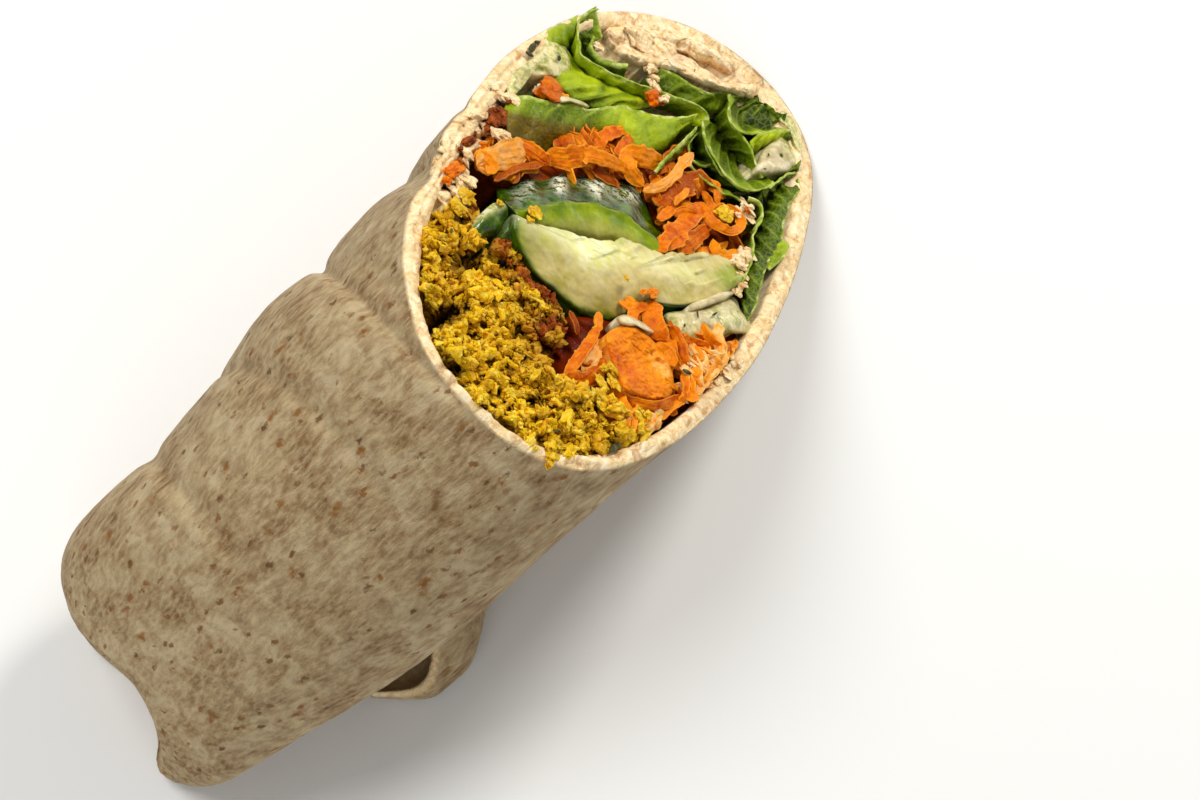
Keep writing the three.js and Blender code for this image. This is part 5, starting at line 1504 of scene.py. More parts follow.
def leaf_sheet(shape, guides, painted_light, seed, along, across, ribs, rim_width, crinkle=0.32, thick=0.5,
               olive_shade=None):
    """A thin leaf through guide lines: the first is the cut edge, the last lies deepest. Its painted light
    and its painted olive shade are worked out from the share along the edge and the reach in from it."""
    front = loft(guides, along, across)
    normal = toward_viewer(front)
    s = np.linspace(0, 1, along)[:, None] * np.ones(across)
    steps = np.linalg.norm(np.diff(front, axis=1), axis=-1)
    reach = np.concatenate([np.zeros((along, 1)), np.cumsum(steps, 1)], 1)
    branch = (s * ribs + 0.22 * reach / 2 + 0.35 * waves(front, 5, seed + 2)) % 1 - 0.5
    vein = np.exp(-(branch / 0.07) ** 2) * smooth(reach, 0.2, 1.0)
    relief = (crinkle * uneven(front, (1, 4.2, seed), (0.6, 1.9, seed + 1))
              + 0.07 * waves(front, 0.8, seed + 3))
    relief = relief + 0.22 * np.cos(branch * 2 * math.pi) * smooth(reach, 0.4, 2) - 0.10 * vein
    ripple = 0.3 * np.exp(-reach / 1.4) * waves(front, 1.5, seed + 4)
    front = front + normal * (relief + ripple)[..., None]
    back = front - normal * (thick * (0.7 + 0.3 * waves(front, 3, seed + 5)))[..., None]
    rim = 1 - smooth(reach + 0.25 * waves(front, 0.9, seed + 6), rim_width * 0.4, rim_width * 1.3)
    marks = {"painted_light": (painted_light(s, reach) if callable(painted_light) else painted_light, BACK_PAINTED_LIGHT)}
    if olive_shade:
        marks["olive_shade"] = (olive_shade(s, reach), 0)
    shape.sheet(front, back, rim=(rim, rim), vein=(vein, vein), **marks)


def lettuce_material():
    material, shader, place = new_material(
        "lettuce", 0.42, Specular_IOR_Level=0.17, Subsurface_Weight=0.15, Subsurface_Radius=(0.6, 1.0, 0.05),
        Subsurface_Scale=0.0008)
    tree = place.id_data
    patchy = noise(place, 4.5, 4, 0.6, 0.4)
    # Painted light and shade: dark, middle and light copies of the leaf green, chosen by the painted light
    # mark.
    dark = ramp(patchy, (0.35, 14, 30, 0), (0.65, 44, 70, 0))
    middle = ramp(patchy, (0.35, 88, 112, 0), (0.65, 126, 148, 6))
    light = ramp(patchy, (0.35, 146, 170, 0), (0.65, 202, 214, 24))
    painted_light = mark(place, "painted_light")
    to_middle = add_node(tree, "MapRange", {"Value": painted_light, "From Min": 0.0,
                                            "From Max": 0.5}).outputs["Result"]
    to_light = add_node(tree, "MapRange", {"Value": painted_light, "From Min": 0.5,
                                           "From Max": 1.0}).outputs["Result"]
    colour = mix(to_light, mix(to_middle, dark, middle), light)
    # A net of small veins, the large veins, and the pale rim where it is cut.
    cells = add_node(tree, "TexVoronoi", {"Vector": place, "Scale": 1100.0, "Randomness": 1.0},
                     feature="DISTANCE_TO_EDGE").outputs["Distance"]
    colour = mix(times(ramp(cells, (0.0, 1.0), (0.16, 0.0)), 0.22), colour, (170, 188, 50))
    colour = mix(times(mark(place, "vein"), 0.4), colour, (172, 190, 60))
    # Painted shade: olive brown where the olive shade mark lies.
    shade = ramp(noise(place, 2.2, 4, 0.6), (0.35, 74, 52, 0), (0.6, 112, 88, 4), (0.75, 140, 110, 20))
    colour = mix(mark(place, "olive_shade"), colour, shade)
    pale = ramp(noise(place, 1.3, 3), (0.38, 128, 154, 24), (0.55, 176, 190, 84), (0.7, 216, 216, 146))
    colour = mix(mark(place, "rim"), colour, pale)
    finish_surface(shader, colour, mix(0.5, ramp(cells, (0.0, 0.0), (0.3, 1.0)), noise(place, 1.6, 3)), 0.18,
                   0.6)
    return material


lettuce_finish = lettuce_material()


def fade(high, low, over):
    """Painted light, falling from the cut edge inward over this many millimetres."""
    return lambda s, reach: high + (low - high) * smooth(reach, 0, over)


def lettuce_piece(node, *sheets):
    shape = Shape()
    for settings in sheets:
        leaf_sheet(shape, **settings)
    shape.piece("lettuce_" + node, lettuce_finish, "lettuce", node)


# A long fold: its pale edge runs down from the tip, turns, and climbs beside the crumpled tortilla.
lettuce_piece("leaf_long_fold", dict(guides=[
    [(35.1, 34.4, 1.2), (34.7, 30.4, 1), (33.4, 27.8, 1), (31.4, 25.6, 1.2), (28.8, 24.4, 1.2), (26, 26.4, 1),
     (23, 29.2, 0.8), (20.5, 33, 0.6), (18.2, 36.2, 0.6), (16.4, 39, 0.6), (14.6, 41.2, 0.5),
     (12.8, 41.8, 0.3), (11.6, 40, 0)],
    [(34.4, 30, -0.4), (33.2, 27.2, -0.4), (31.8, 25.2, -0.2), (30.4, 24, 0.2), (28.7, 23.4, 0.3),
     (26, 24.8, 0), (23, 27.2, -0.3), (20.6, 30.6, -0.5), (18.4, 33.6, -0.6), (16.8, 36.4, -0.6),
     (15, 39, -0.8), (13.2, 39.8, -1), (12, 38.6, -1)],
    [(33.4, 27.4, -2.6), (32.2, 25.2, -2.4), (31, 23.8, -2.2), (29.8, 22.8, -2), (28, 22.6, -1.8),
     (25.6, 23.6, -2), (22.8, 26, -2.4), (20.4, 29.2, -2.6), (18.4, 32, -2.8), (17, 34.6, -3),
     (15.4, 36.8, -3), (14, 37.4, -3), (12.8, 37, -3)],
    level(-7, (32.6, 26), (31.4, 24.6), (30.4, 23.4), (29.2, 22.8), (27.6, 22.8), (25.4, 23.8), (22.8, 26),
          (20.4, 29), (18.6, 31.6), (17.2, 34), (15.8, 35.8), (14.4, 36.4), (13.2, 36.4)),
], painted_light=fade(1.0, 0.66, 3.5), seed=10, along=170, across=48, rim_width=0.7, ribs=11), dict(guides=[
    [(35.2, 34.6, 1.6), (33.6, 33.2, 1), (31.6, 31.9, 0.8), (30.4, 31.2, 0.4)],
    [(34.9, 31.4, 0.6), (33.4, 30.4, 0), (31.6, 29.6, -0.4), (30.4, 29.4, -0.6)],
    [(34.2, 28.6, -0.8), (32.8, 27.8, -1.2), (31.4, 27.2, -1.6), (30.2, 27, -1.8)],
    level(-5, (33.4, 26.8), (32, 26), (30.8, 25.6), (29.8, 25.4)),
], painted_light=0.5, seed=20, along=40, across=36, rim_width=0.35, ribs=2.5), dict(guides=[
    [(30.9, 29.6, 0.8), (29.4, 27.8, 0.9), (27.6, 27.6, 0.8), (26.2, 29.6, 0.7), (25, 32.6, 0.6)],
    level(0.2, (30.2, 27.8), (29, 26.4), (27.4, 26.2), (25.6, 28.2), (24.2, 31.4)),
    level(-2, (29.8, 26), (28.8, 25.2), (27.2, 25.4), (25.2, 27.4), (23.6, 30)),
], painted_light=0.25, seed=30, along=50, across=24, rim_width=0.9, ribs=3), dict(guides=[
    [(35, 29.6, 0.4), (34.9, 26, 0.4), (34.4, 22, 0.2), (33.4, 18.4, 0)],
    [(33.6, 27.4, 0.8), (33.4, 24.4, 1), (32.9, 21.2, 0.8), (32, 17.8, 0.4)],
    [(31.8, 25, -0.4), (31.6, 22.8, 0), (31.2, 20, 0), (30.6, 17, -0.4)],
    level(-4, (30.8, 24), (30.4, 21.8), (30, 19.4), (29.6, 16.6)),
], painted_light=fade(0.75, 0.55, 4), seed=40, along=50, across=34, rim_width=0.4, ribs=3))

# The leaf below it, creased lengthwise, with sauce along its foot.
def creased(s, reach):
    """Painted light: bright, but shaded in two creases and toward its far end."""
    crease = 0.4 * np.exp(-((s - 0.46 - 0.02 * reach) / 0.05) ** 2)
    second = 0.3 * np.exp(-((s - 0.72) / 0.05) ** 2)
    return 0.95 - crease - second - 0.25 * smooth(reach, 6, 9)


lettuce_piece("leaf_under_fold", dict(guides=[
    [(31, 23.2, -0.8), (29.4, 22.9, -0.8), (27.4, 23, -0.8), (25, 24.3, -0.9), (22.8, 26.8, -1),
     (21, 29.4, -1.2), (19.4, 31.4, -1.6), (17.8, 32, -2)],
    [(30.4, 20.6, -0.6), (28.6, 20.4, -0.2), (26.6, 20.6, 0.2), (24.4, 21.6, 0.4), (22.4, 23.8, 0.2),
     (20.9, 26, -0.2), (19.4, 28, -0.8), (18, 29, -1.6)],
    [(29.6, 17.6, -0.8), (27.8, 17.4, -0.2), (25.8, 17.8, 0.4), (23.9, 18.8, 0.4), (22.2, 20.6, 0),
     (20.8, 22.6, -0.6), (19.6, 24.4, -1.2), (18.4, 25.6, -2)],
    [(28.8, 14.8, -1.8), (27, 14.6, -1.2), (25.2, 15, -0.8), (23.4, 15.8, -0.8), (21.8, 17.4, -1.2),
     (20.6, 19, -1.8), (19.6, 20.8, -2.4), (18.6, 22.4, -3)],
    level(-6, (28.4, 13.8), (26.8, 13.6), (25, 14), (23.2, 15), (21.8, 16.4), (20.6, 18), (19.6, 19.6),
          (18.6, 21)),
], painted_light=creased, seed=50, along=90, across=70, crinkle=0.5, ribs=5, rim_width=0.35))

# The middle leaf stands between carrots and the fold: a bright painted peak above, painted olive shade below.
def peaked(s, reach):
    """Painted light: brightest along its upper half and at its start, and fading as it goes in."""
    peak = (0.32 + 0.5 * smooth(s, 0.4, 0.56)) * (1 - 0.4 * smooth(reach, 5.5, 9) * smooth(s, 0.3, 0.6))
    return peak + 0.25 * (1 - smooth(s, 0.06, 0.2)) * (1 - smooth(reach, 4, 7))


# Painted olive shade on the lower half of the leaf, growing away from the cut edge.
def olive_shade_below(s, reach):
    return np.clip(1.2 * smooth(reach, 2.4, 5.4) * (1 - smooth(s, 0.44, 0.6)), 0, 0.92)


lettuce_piece("leaf_middle", dict(guides=[
    [(26.8, 4.6, 0.4), (26, 7.4, 1), (24.8, 9.8, 1.4), (23.4, 12, 1.4), (22.4, 15, 1.3), (20.6, 18.2, 1.2),
     (20, 21.2, 1.2), (19.4, 24.6, 1.1), (17.9, 27.4, 1), (16.4, 30.2, 1), (14.9, 33.6, 1), (14, 37, 1),
     (13.6, 39.6, 1)],
    [(24, 0.8, 0.4), (23, 4.6, 0.8), (22, 7.8, 1), (20.8, 11.6, 1), (19.8, 15.2, 0.9), (18.7, 18.6, 0.9),
     (17.8, 21.6, 1), (17, 24.4, 1.1), (15.8, 27.4, 1.2), (14.9, 30, 1.2), (14, 33, 1.1), (13.6, 36, 1),
     (13.3, 38.6, 0.8)],
    [(20.4, -0.8, -0.4), (19.6, 2.6, -0.4), (18.8, 6.4, -0.4), (17.9, 11, -0.2), (17.2, 15.2, -0.2),
     (16.4, 18.8, 0), (15.3, 21.8, 0.3), (14, 24.4, 0.8), (13.4, 27.2, 1), (13, 30, 0.8), (12.8, 33, 0.6),
     (12.9, 35.8, 0.5), (13, 38, 0.4)],
    [(17.4, -2, -3), (16.6, 1.6, -3), (16, 6, -3), (15.8, 10.8, -2.6), (15.2, 15, -2.4), (13.8, 18.6, -1.8),
     (12, 21, -1), (10.8, 24, -0.6), (10.8, 27, -0.6), (11.4, 30, -0.6), (11.9, 33, -0.6), (12.2, 35.6, -0.6),
     (12.6, 37.6, -0.6)],
    [(17, -2.4, -7), (16, 1, -7), (15.4, 6, -7), (15, 10.8, -7), (14.2, 14.8, -7), (12.8, 18, -6),
     (11, 20.6, -6), (10.2, 24, -6), (10.4, 27, -6), (11.2, 30, -6), (11.7, 33, -6), (12, 35.4, -6),
     (12.4, 37.2, -6)],
], painted_light=peaked, olive_shade=olive_shade_below, seed=60, along=150, across=64, crinkle=0.3,
    rim_width=0.7, ribs=6))

# A dark leaf lies flat against the crumpled tortilla; its lower end, painted nearly black as shade, fills
# the pocket behind the rest.
lettuce_piece("leaf_dark", dict(guides=[
    [(22.6, 38.9, 0.3), (20.4, 41.3, 0.4), (17.8, 43.4, 0.3), (15.9, 46, 0.2), (15.4, 49, 0),
     (14.2, 50.6, 0)],
    [(22.4, 36, -0.8), (19.8, 38.4, -0.6), (17.2, 40.8, -0.7), (15.1, 43.8, -0.8), (14, 47, -1),
     (13.2, 49, -1)],
    [(22, 33, -2.6), (19.4, 35, -2.4), (16.8, 37.8, -2.4), (14.6, 41, -2.4), (12.9, 44.6, -2.6),
     (12.2, 47.4, -2.6)],
    level(-8, (21.6, 31), (19, 33), (16.6, 36), (14.4, 39.6), (12.6, 43.6), (12, 46.6)),
], painted_light=fade(0.34, 0.24, 5), seed=70, along=70, across=44, rim_width=0.5, ribs=4), dict(guides=[
    [(29, 25, -8), (23, 32, -8), (18, 40, -8), (14, 48, -7), (11, 53, -6)],
    [(26, 18, -9), (20, 27, -9), (13, 38, -9), (9, 46, -8), (7, 52, -6.5)],
    [(22, 10, -9), (16, 20, -9), (8, 34, -9), (3, 43, -8.5), (1, 49, -7)],
    [(17, 2, -9), (11, 14, -9), (3, 28, -9), (-3, 36, -8.5), (-3, 43, -7.5)],
    [(12, -2, -9), (6, 10, -9), (-2, 22, -9), (-9, 27, -8), (-10, 30, -7)],
], painted_light=0.02, seed=75, along=90, across=70, rim_width=0.1, ribs=5, crinkle=0.6))

# Three cups of one curled leaf, one behind the other.
lettuce_piece("leaf_cup_top", dict(guides=[
    [(14.6, 49.6, 1), (12.6, 47, 1.2), (10.4, 45.5, 1.2), (8.4, 46.4, 1.2), (7.1, 49.6, 1.2),
     (6.4, 53.4, 1.1), (5.6, 57.4, 1)],
    [(14, 50.6, -0.4), (12.2, 48.4, -0.6), (10.2, 47.2, -0.6), (8.7, 48, -0.4), (7.7, 50.8, -0.2),
     (6.9, 54, 0), (6.2, 57, 0)],
    [(13.4, 52, -2.6), (11.8, 50.4, -3), (10.2, 49.6, -3), (9.2, 50.2, -2.6), (8.4, 52.4, -2.2),
     (7.5, 54.8, -2), (6.8, 56.6, -1.6)],
    [(13, 53.6, -5), (11.8, 52.8, -5.6), (10.6, 52.6, -5.6), (9.8, 53, -5.4), (9, 54.2, -5),
     (8.2, 55.6, -4.4), (7.4, 56.6, -4)],
], painted_light=fade(0.9, 0.1,
               4.2), seed=80, along=110, across=44, rim_width=1.1, ribs=4, crinkle=0.15), dict(guides=[
    [(14.2, 49.9, 0.2), (13.6, 52.6, -0.6), (12, 55, -0.8), (9.6, 55.8, -0.8), (7.2, 56.2, -0.4)],
    [(13.6, 50, -2), (12.8, 52.4, -3), (11.4, 54.2, -3), (9.6, 55, -3), (7.8, 55.6, -2.4)],
    [(12.8, 50, -5), (12, 52, -6), (10.8, 53.4, -6), (9.6, 54, -6), (8.4, 54.4, -5)],
], painted_light=0.12, seed=85, along=60, across=30, rim_width=0.5, ribs=3, crinkle=0.15), dict(guides=[
    [(6.9, 49.4, 1.2), (6.4, 52.4, 1.2), (5.8, 56, 1.1), (5.4, 58, 1)],
    [(6.2, 47, 0.6), (5.8, 50.4, 0.8), (5.3, 54, 0.8), (5, 57, 0.6)],
    [(5.2, 45.6, -0.8), (5, 49, -0.6), (4.6, 53, -0.6), (4.4, 56, -0.8)],
    level(-4, (5, 45), (4.8, 48), (4.4, 52), (4.2, 55)),
], painted_light=0.98, seed=88, along=60, across=26, rim_width=0.3, ribs=5))
lettuce_piece("leaf_cup_middle", dict(guides=[
    [(12.4, 40.3, 1), (9.6, 37.8, 1.1), (5.4, 36.5, 1.2), (1.4, 37, 1.1), (-0.8, 39.4, 1), (-1.3, 42.6, 1),
     (-1, 45.6, 0.8)],
    [(12, 41, -0.4), (9.6, 39.2, -0.6), (5.8, 38.2, -0.8), (2.2, 38.8, -0.6), (0.2, 40.6, -0.4),
     (-0.3, 43, -0.3), (-0.2, 45.4, -0.2)],
    [(11.8, 42, -2.4), (9.6, 41, -2.8), (6.4, 40.4, -3), (3.2, 41, -2.8), (1.4, 42.2, -2.2),
     (0.8, 43.6, -1.8), (0.6, 45.2, -1.4)],
    [(11.8, 43.2, -4.6), (9.8, 43, -5), (7, 42.8, -5.4), (4.6, 43.2, -5), (3, 43.8, -4.4), (2.2, 44.4, -3.8),
     (1.6, 45.4, -3.2)],
], painted_light=fade(0.56, 0.2,
               4.6), seed=90, along=120, across=44, rim_width=0.5, ribs=6, crinkle=0.2), dict(guides=[
    [(14.2, 49.4, 0.4), (12.2, 46.8, 0.5), (10.2, 45.4, 0.6), (7.4, 45.7, 0.4), (4.4, 45.2, 0.2),
     (2.4, 44, 0), (0.4, 43.2, -0.4)],
    [(13.6, 47, -1), (12, 45.2, -1), (10, 44.2, -1), (7.2, 44.4, -1.2), (4.8, 44, -1.6), (3, 43.2, -1.8),
     (1.4, 42.8, -2)],
    [(12.8, 44.4, -3), (11.4, 43.6, -3), (9.6, 42.8, -3.2), (7.2, 42.6, -3.6), (5.2, 42.4, -3.8),
     (3.8, 42.2, -3.8), (2.4, 42, -4)],
    level(-6, (12.2, 42), (11, 41.6), (9.4, 41), (7.2, 40.8), (5.4, 40.8), (4.2, 41), (3, 41)),
], painted_light=fade(0.5, 0.12,
               3.4), seed=95, along=90, across=40, rim_width=0.3, ribs=5, crinkle=0.2), dict(guides=[
    level(0.2, (12.3, 39.8), (9.4, 37), (5.4, 35.9), (1.6, 36.4), (-0.9, 38.8)),
    [(11.6, 37.6, -1.6), (9, 35.4, -1.8), (5.6, 34.8, -2), (2.2, 35.4, -2), (0, 37.2, -2)],
    [(10.8, 35.6, -4), (8.8, 34, -4.6), (6, 33.6, -4.8), (3, 34.2, -4.8), (0.8, 35.6, -4.6)],
], painted_light=0.16, seed=99, along=80, across=26, rim_width=0.15, ribs=4, crinkle=0.2))
lettuce_piece("leaf_cup_foot", dict(guides=[
    [(8.4, 30.8, 0.2), (6, 30.7, 0.4), (3.2, 31.6, 0.5), (0.8, 33.6, 0.5), (-1, 35.6, 0.4), (-2, 36.6, 0.2)],
    level(-1, (8.2, 31.4), (6, 31.4), (3.4, 32.2), (1.2, 34), (-0.6, 36), (-1.6, 37)),
    level(-4.6, (8, 32.2), (6.2, 32.2), (3.8, 33), (1.8, 34.6), (0, 36.4), (-1, 37.4)),
], painted_light=0.3, seed=105, along=60, across=22, rim_width=0.35, ribs=3, crinkle=0.15), dict(guides=[
    [(11.4, 38.6, -1), (10.4, 35.6, -0.8), (9, 33.4, -0.8), (7.6, 32.4, -0.8), (6.2, 34, -0.8),
     (5.6, 36, -1)],
    level(-3, (11, 37.6), (9.8, 34.8), (8.8, 33.4), (7.8, 33.2), (6.9, 34.4), (6.4, 35.6)),
    level(-6, (10.8, 37), (9.6, 35), (8.8, 34.4), (8.2, 34.2), (7.4, 34.8), (7, 35.4)),
], painted_light=0.2, seed=108, along=50, across=22, rim_width=0.2, ribs=3, crinkle=0.2))

# Down the other side: a dark leaf, a thin curl with sauce on its edge, and a scrap on the tortilla.
def two_lights(s, reach):
    """Dark, with light on it in two places."""
    first = 0.16 * np.exp(-((s - 0.2) / 0.08) ** 2)
    return 0.1 - 0.1 * smooth(reach, 2.2, 4.4) + first + 0.12 * np.exp(-((s - 0.78) / 0.1) ** 2)


lettuce_piece("leaf_side", dict(guides=[
    [(-1.2, 52.2, 0), (-3.6, 50.6, 0.6), (-5, 46.6, 0.7), (-7.6, 41.4, 0.8), (-10.4, 37.4, 0.8),
     (-12.2, 31.6, 0.8), (-14.6, 27.4, 0.8), (-17, 23.4, 0.6), (-18.2, 20.4, 0.2)],
    [(-1, 51, -1.2), (-2.8, 48.8, 0), (-4, 45, 0.4), (-6, 40.2, 0.5), (-8.8, 35.8, 0.5), (-10.8, 30.8, 0.6),
     (-13.4, 26.6, 0.7), (-15.9, 22.8, 0.5), (-17.4, 20, 0)],
    [(-0.8, 49.6, -3), (-1.9, 47, -2), (-2.9, 43.6, -1.6), (-4.6, 39.6, -1.6), (-7, 35, -1.4),
     (-9.8, 30.4, -1), (-12.2, 26, -0.6), (-14.6, 22.4, -0.6), (-16.4, 19.8, -1)],
    [(-0.6, 48.4, -7), (-1.2, 45.8, -7), (-1.8, 42.8, -7), (-3.6, 39.2, -7), (-6, 34.4, -7), (-8.8, 30, -7),
     (-11.4, 25.8, -6), (-13.8, 22, -6), (-15.8, 19.6, -6)],
], painted_light=two_lights, seed=110, along=150, across=44, rim_width=0.25, ribs=12, crinkle=0.36), dict(guides=[
    [(-0.8, 51.6, 0.6), (-0.5, 49, 0.8), (-1, 46, 0.9), (-1.6, 43.6, 0.8)],
    level(-1, (-1.4, 52.2), (-1.1, 49.4), (-1.4, 46.2), (-1.9, 43.8)),
    level(-5, (-1.8, 52.4), (-1.5, 49.4), (-1.8, 46.2), (-2.2, 43.8)),
], painted_light=0.12, seed=118, along=40, across=20, rim_width=0.2, ribs=3, crinkle=0.1))
lettuce_piece("leaf_curl", dict(guides=[
    [(-1.7, 37.8, 0.8), (-2.4, 39, 1.2), (-3.7, 39.3, 1.5), (-5, 38.1, 1.6), (-6.1, 35.4, 1.6),
     (-7.5, 32.8, 1.6), (-9.4, 30.6, 1.6), (-11, 28.4, 1.6), (-12.3, 25.6, 1.5), (-13.4, 22.6, 1.2)],
    [(-2.2, 37, -0.2), (-2.8, 37.9, 0), (-3.8, 38.2, 0.2), (-4.7, 37.2, 0.2), (-5.8, 34.8, 0.2),
     (-7.1, 32.2, 0.2), (-8.9, 30, 0.2), (-10.5, 27.8, 0.2), (-11.8, 25, 0.2), (-12.8, 22.4, 0)],
    level(-3.4, (-2.8, 36), (-3.2, 36.6), (-3.8, 36.8), (-4.4, 36), (-5.4, 34), (-6.6, 31.6), (-8.4, 29.4),
          (-9.9, 27.2), (-11.2, 24.6), (-12.2, 22.2)),
], painted_light=0.2, seed=120, along=130, across=30, rim_width=0.8, ribs=8, crinkle=0.12, thick=0.42))
lettuce_piece("leaf_strip", dict(guides=[
    [(-9.8, 38.6, 0.5), (-10.8, 39, 0.9), (-11.9, 37.2, 1), (-12.6, 34.4, 1), (-13, 31.6, 0.7)],
    [(-9.9, 37.4, 0.6), (-10.6, 37, 1), (-11.2, 35.6, 1.1), (-11.9, 33.6, 1), (-12.6, 31.2, 0.6)],
    [(-10, 36, 0), (-10.4, 35.2, 0.2), (-10.9, 34.2, 0.4), (-11.5, 32.6, 0.3), (-12.2, 30.9, 0)],
], painted_light=0.74, seed=130, along=50, across=24, rim_width=0.6, ribs=4, crinkle=0.2))
lettuce_piece("leaf_sliver", dict(guides=[
    [(11.8, 37.4, 1), (11, 34.4, 1.4), (10.2, 31, 1.5), (9.5, 28, 1.5), (8.8, 25.4, 1.5), (8, 22.4, 1.2)],
    [(11.3, 36.8, 0.6), (10.4, 34, 0.8), (9.5, 30.8, 0.9), (8.9, 27.8, 0.9), (8.2, 25, 0.9),
     (7.5, 22.2, 0.8)],
    [(11.1, 36.4, -2.6), (10.2, 33.6, -2.6), (9.3, 30.6, -2.6), (8.7, 27.6, -2.6), (8.1, 25, -2),
     (7.4, 22.2, -1.4)],
], painted_light=0.55, seed=140, along=70, across=20, rim_width=0.6, ribs=5, crinkle=0.12, thick=0.4))

# -------------------- sauce
# Garlic yogurt sauce with herbs, squeezed in last: glossy white where it is thick, greyish and
# streaked with juice where it is thin.
def sauce_material():
    material, shader, place = new_material(
        "sauce", 0.2, Specular_IOR_Level=0.4, Subsurface_Weight=0.25, Subsurface_Radius=(1.0, 0.9, 0.7),
        Subsurface_Scale=0.0015)
    white = ramp(noise(place, 2.6, 4, 0.6, 0.8), (0.3, 176, 158, 112), (0.5, 210, 194, 150),
                 (0.7, 238, 228, 196))
    tint = ramp(noise(place, 1.7, 4, 0.65, 1.0), (0.36, 108, 128, 34), (0.47, 186, 184, 96),
                (0.58, 236, 224, 166), (0.78, 220, 196, 116))
    colour = mix(mark(place, "thin"), white, tint)
    herb = grouped(FLECKS, Place=place, Density=420.0, Full=0.1, Gone=0.2, Channel=RED, Never=0.84,
                   Always=0.88, Strength=1.0)
    colour = mix(herb, colour, (70, 84, 30))
    finish_surface(shader, colour, noise(place, 1.6, 3, 0.5), 0.2, 0.6)
    return material


sauce_finish = sauce_material()


def smeared(raised, dome, seed, roughness):
    """A smear that stands up in a dome, with its surface drawn about."""
    def relief(a, d, share):
        p = flat_point(a, d)
        return (raised + dome * np.sqrt(np.maximum(0, 1 - share ** 2)) + roughness * waves(p, 2.6, seed)
                + 0.4 * roughness * waves(p, 1.1, seed + 1) - 0.5 * share ** 8)
    return relief


POOL_RIGHT = [
    (5.6, 55.6), (5.2, 52), (4.4, 48.4), (3, 45), (1.7, 42.2), (0.8, 43.6), (0.1, 46), (-0.5, 49),
    (-0.7, 52.4), (0.4, 54.6), (2.8, 55.8),
]
DRIP_RIGHT = [(8.8, 58.6), (8.4, 56.4), (6, 57), (4, 56.2), (1, 55.4), (0.6, 56), (2.6, 57.6), (5.2, 59),
              (7.4, 59.4)]
right = Shape()
filling(right, POOL_RIGHT, (2.4, 50), smeared(-0.6, 1.6, 140, 0.45), around=110, rings=30, depth=6,
        thin=lambda a, d, share: 0.65 * smooth(d, 51, 54.5) + 0.3 * smooth(share, 0.7, 1))
filling(right, DRIP_RIGHT, (5, 57.8), smeared(0.3, 0.6, 144, 0.3), around=90, rings=18, depth=3, thin=0.85)
right.piece("sauce_right", sauce_finish, "sauce", "sauce_right")

POOL_LOWER = [
    (-11.8, 5.4), (-12.6, 9.4), (-13.4, 13.6), (-13.4, 18.2), (-14.2, 21), (-16.4, 20.4), (-18.8, 20.6),
    (-19.8, 18.4), (-18.6, 14.4), (-18.4, 10), (-17.6, 7), (-16, 4.4), (-14, 3.4),
]
TRAIL_LOWER = [
    (-9.2, -4.2), (-9.4, -2.2), (-10.6, -0.8), (-12.2, 0.4), (-13.6, 0.8), (-13.2, -0.4), (-11.8, -1.6),
    (-11.2, -3.2), (-10.2, -4.6),
]
EDGE_LOWER = [(-12.2, 11), (-12.4, 15), (-12.6, 19), (-13.6, 21.6), (-13.9, 18), (-13.6, 14), (-13.2, 10.6)]


def thin_lower(a, d, share):
    thin = spots(a, d, (-17, 17.6, 1.8, 2, 0.6)) + 0.4 * smooth(share, 0.5, 1)
    return np.clip(thin + 0.5 * smooth(waves(flat_point(a, d), 3, 152), -0.2, 0.6), 0, 1)


lower_sauce = Shape()
filling(lower_sauce, POOL_LOWER, (-15.8, 12), smeared(-0.6, 1.7, 150, 0.6), around=140, rings=40, depth=6,
        thin=thin_lower)
filling(lower_sauce, TRAIL_LOWER, (-10.9, -2.1), smeared(1.2, 1.4, 156, 0.2), around=60, rings=16, depth=2,
        thin=0.1)
filling(lower_sauce, EDGE_LOWER, (-13, 15.6), smeared(0.9, 0.7, 158, 0.25), around=60, rings=14, depth=2,
        thin=0)
lower_sauce.piece("sauce_lower", sauce_finish, "sauce", "sauce_lower")

POOL_LEFT = [
    (32.6, 22.6), (30.4, 22.4), (27.8, 20.6), (26.7, 18), (27.2, 15), (27.8, 12), (28.2, 9), (26.4, 5.6),
    (27.4, 4.8), (29.4, 6), (30.4, 9.6), (31.6, 13.6), (33, 17.4), (33.8, 21),
]
DRIP_LEFT = [(20.8, 18.6), (21.2, 17.2), (22.4, 15.4), (23, 13.2), (24.2, 12.8), (24, 14.6), (23, 16.4),
             (21.8, 18.2)]
left = Shape()
filling(left, POOL_LEFT, (29.6, 14.6), smeared(-0.3, 1.3, 160, 0.7), around=150, rings=40, depth=5,
        thin=lambda a, d, share: np.clip(0.75 + 0.3 * waves(flat_point(a, d), 2.2, 163), 0, 1))
filling(left, DRIP_LEFT, (22.6, 15.6), smeared(1.2, 0.8, 166, 0.3), around=60, rings=14, depth=2, thin=0.35)
left.piece("sauce_left", sauce_finish, "sauce", "sauce_left")

# -------------------- crumbs, scraps and herbs
# What the knife dragged across the face: crumbs of falafel, torn bits of tortilla with sauce on them,
# stray carrot, and flecks of dried herb and seed.
BIT_ROUND = 26
NUGGET_ROWS = 14
FLAKE_ROWS = 7
FLAKE_THICK = 0.4


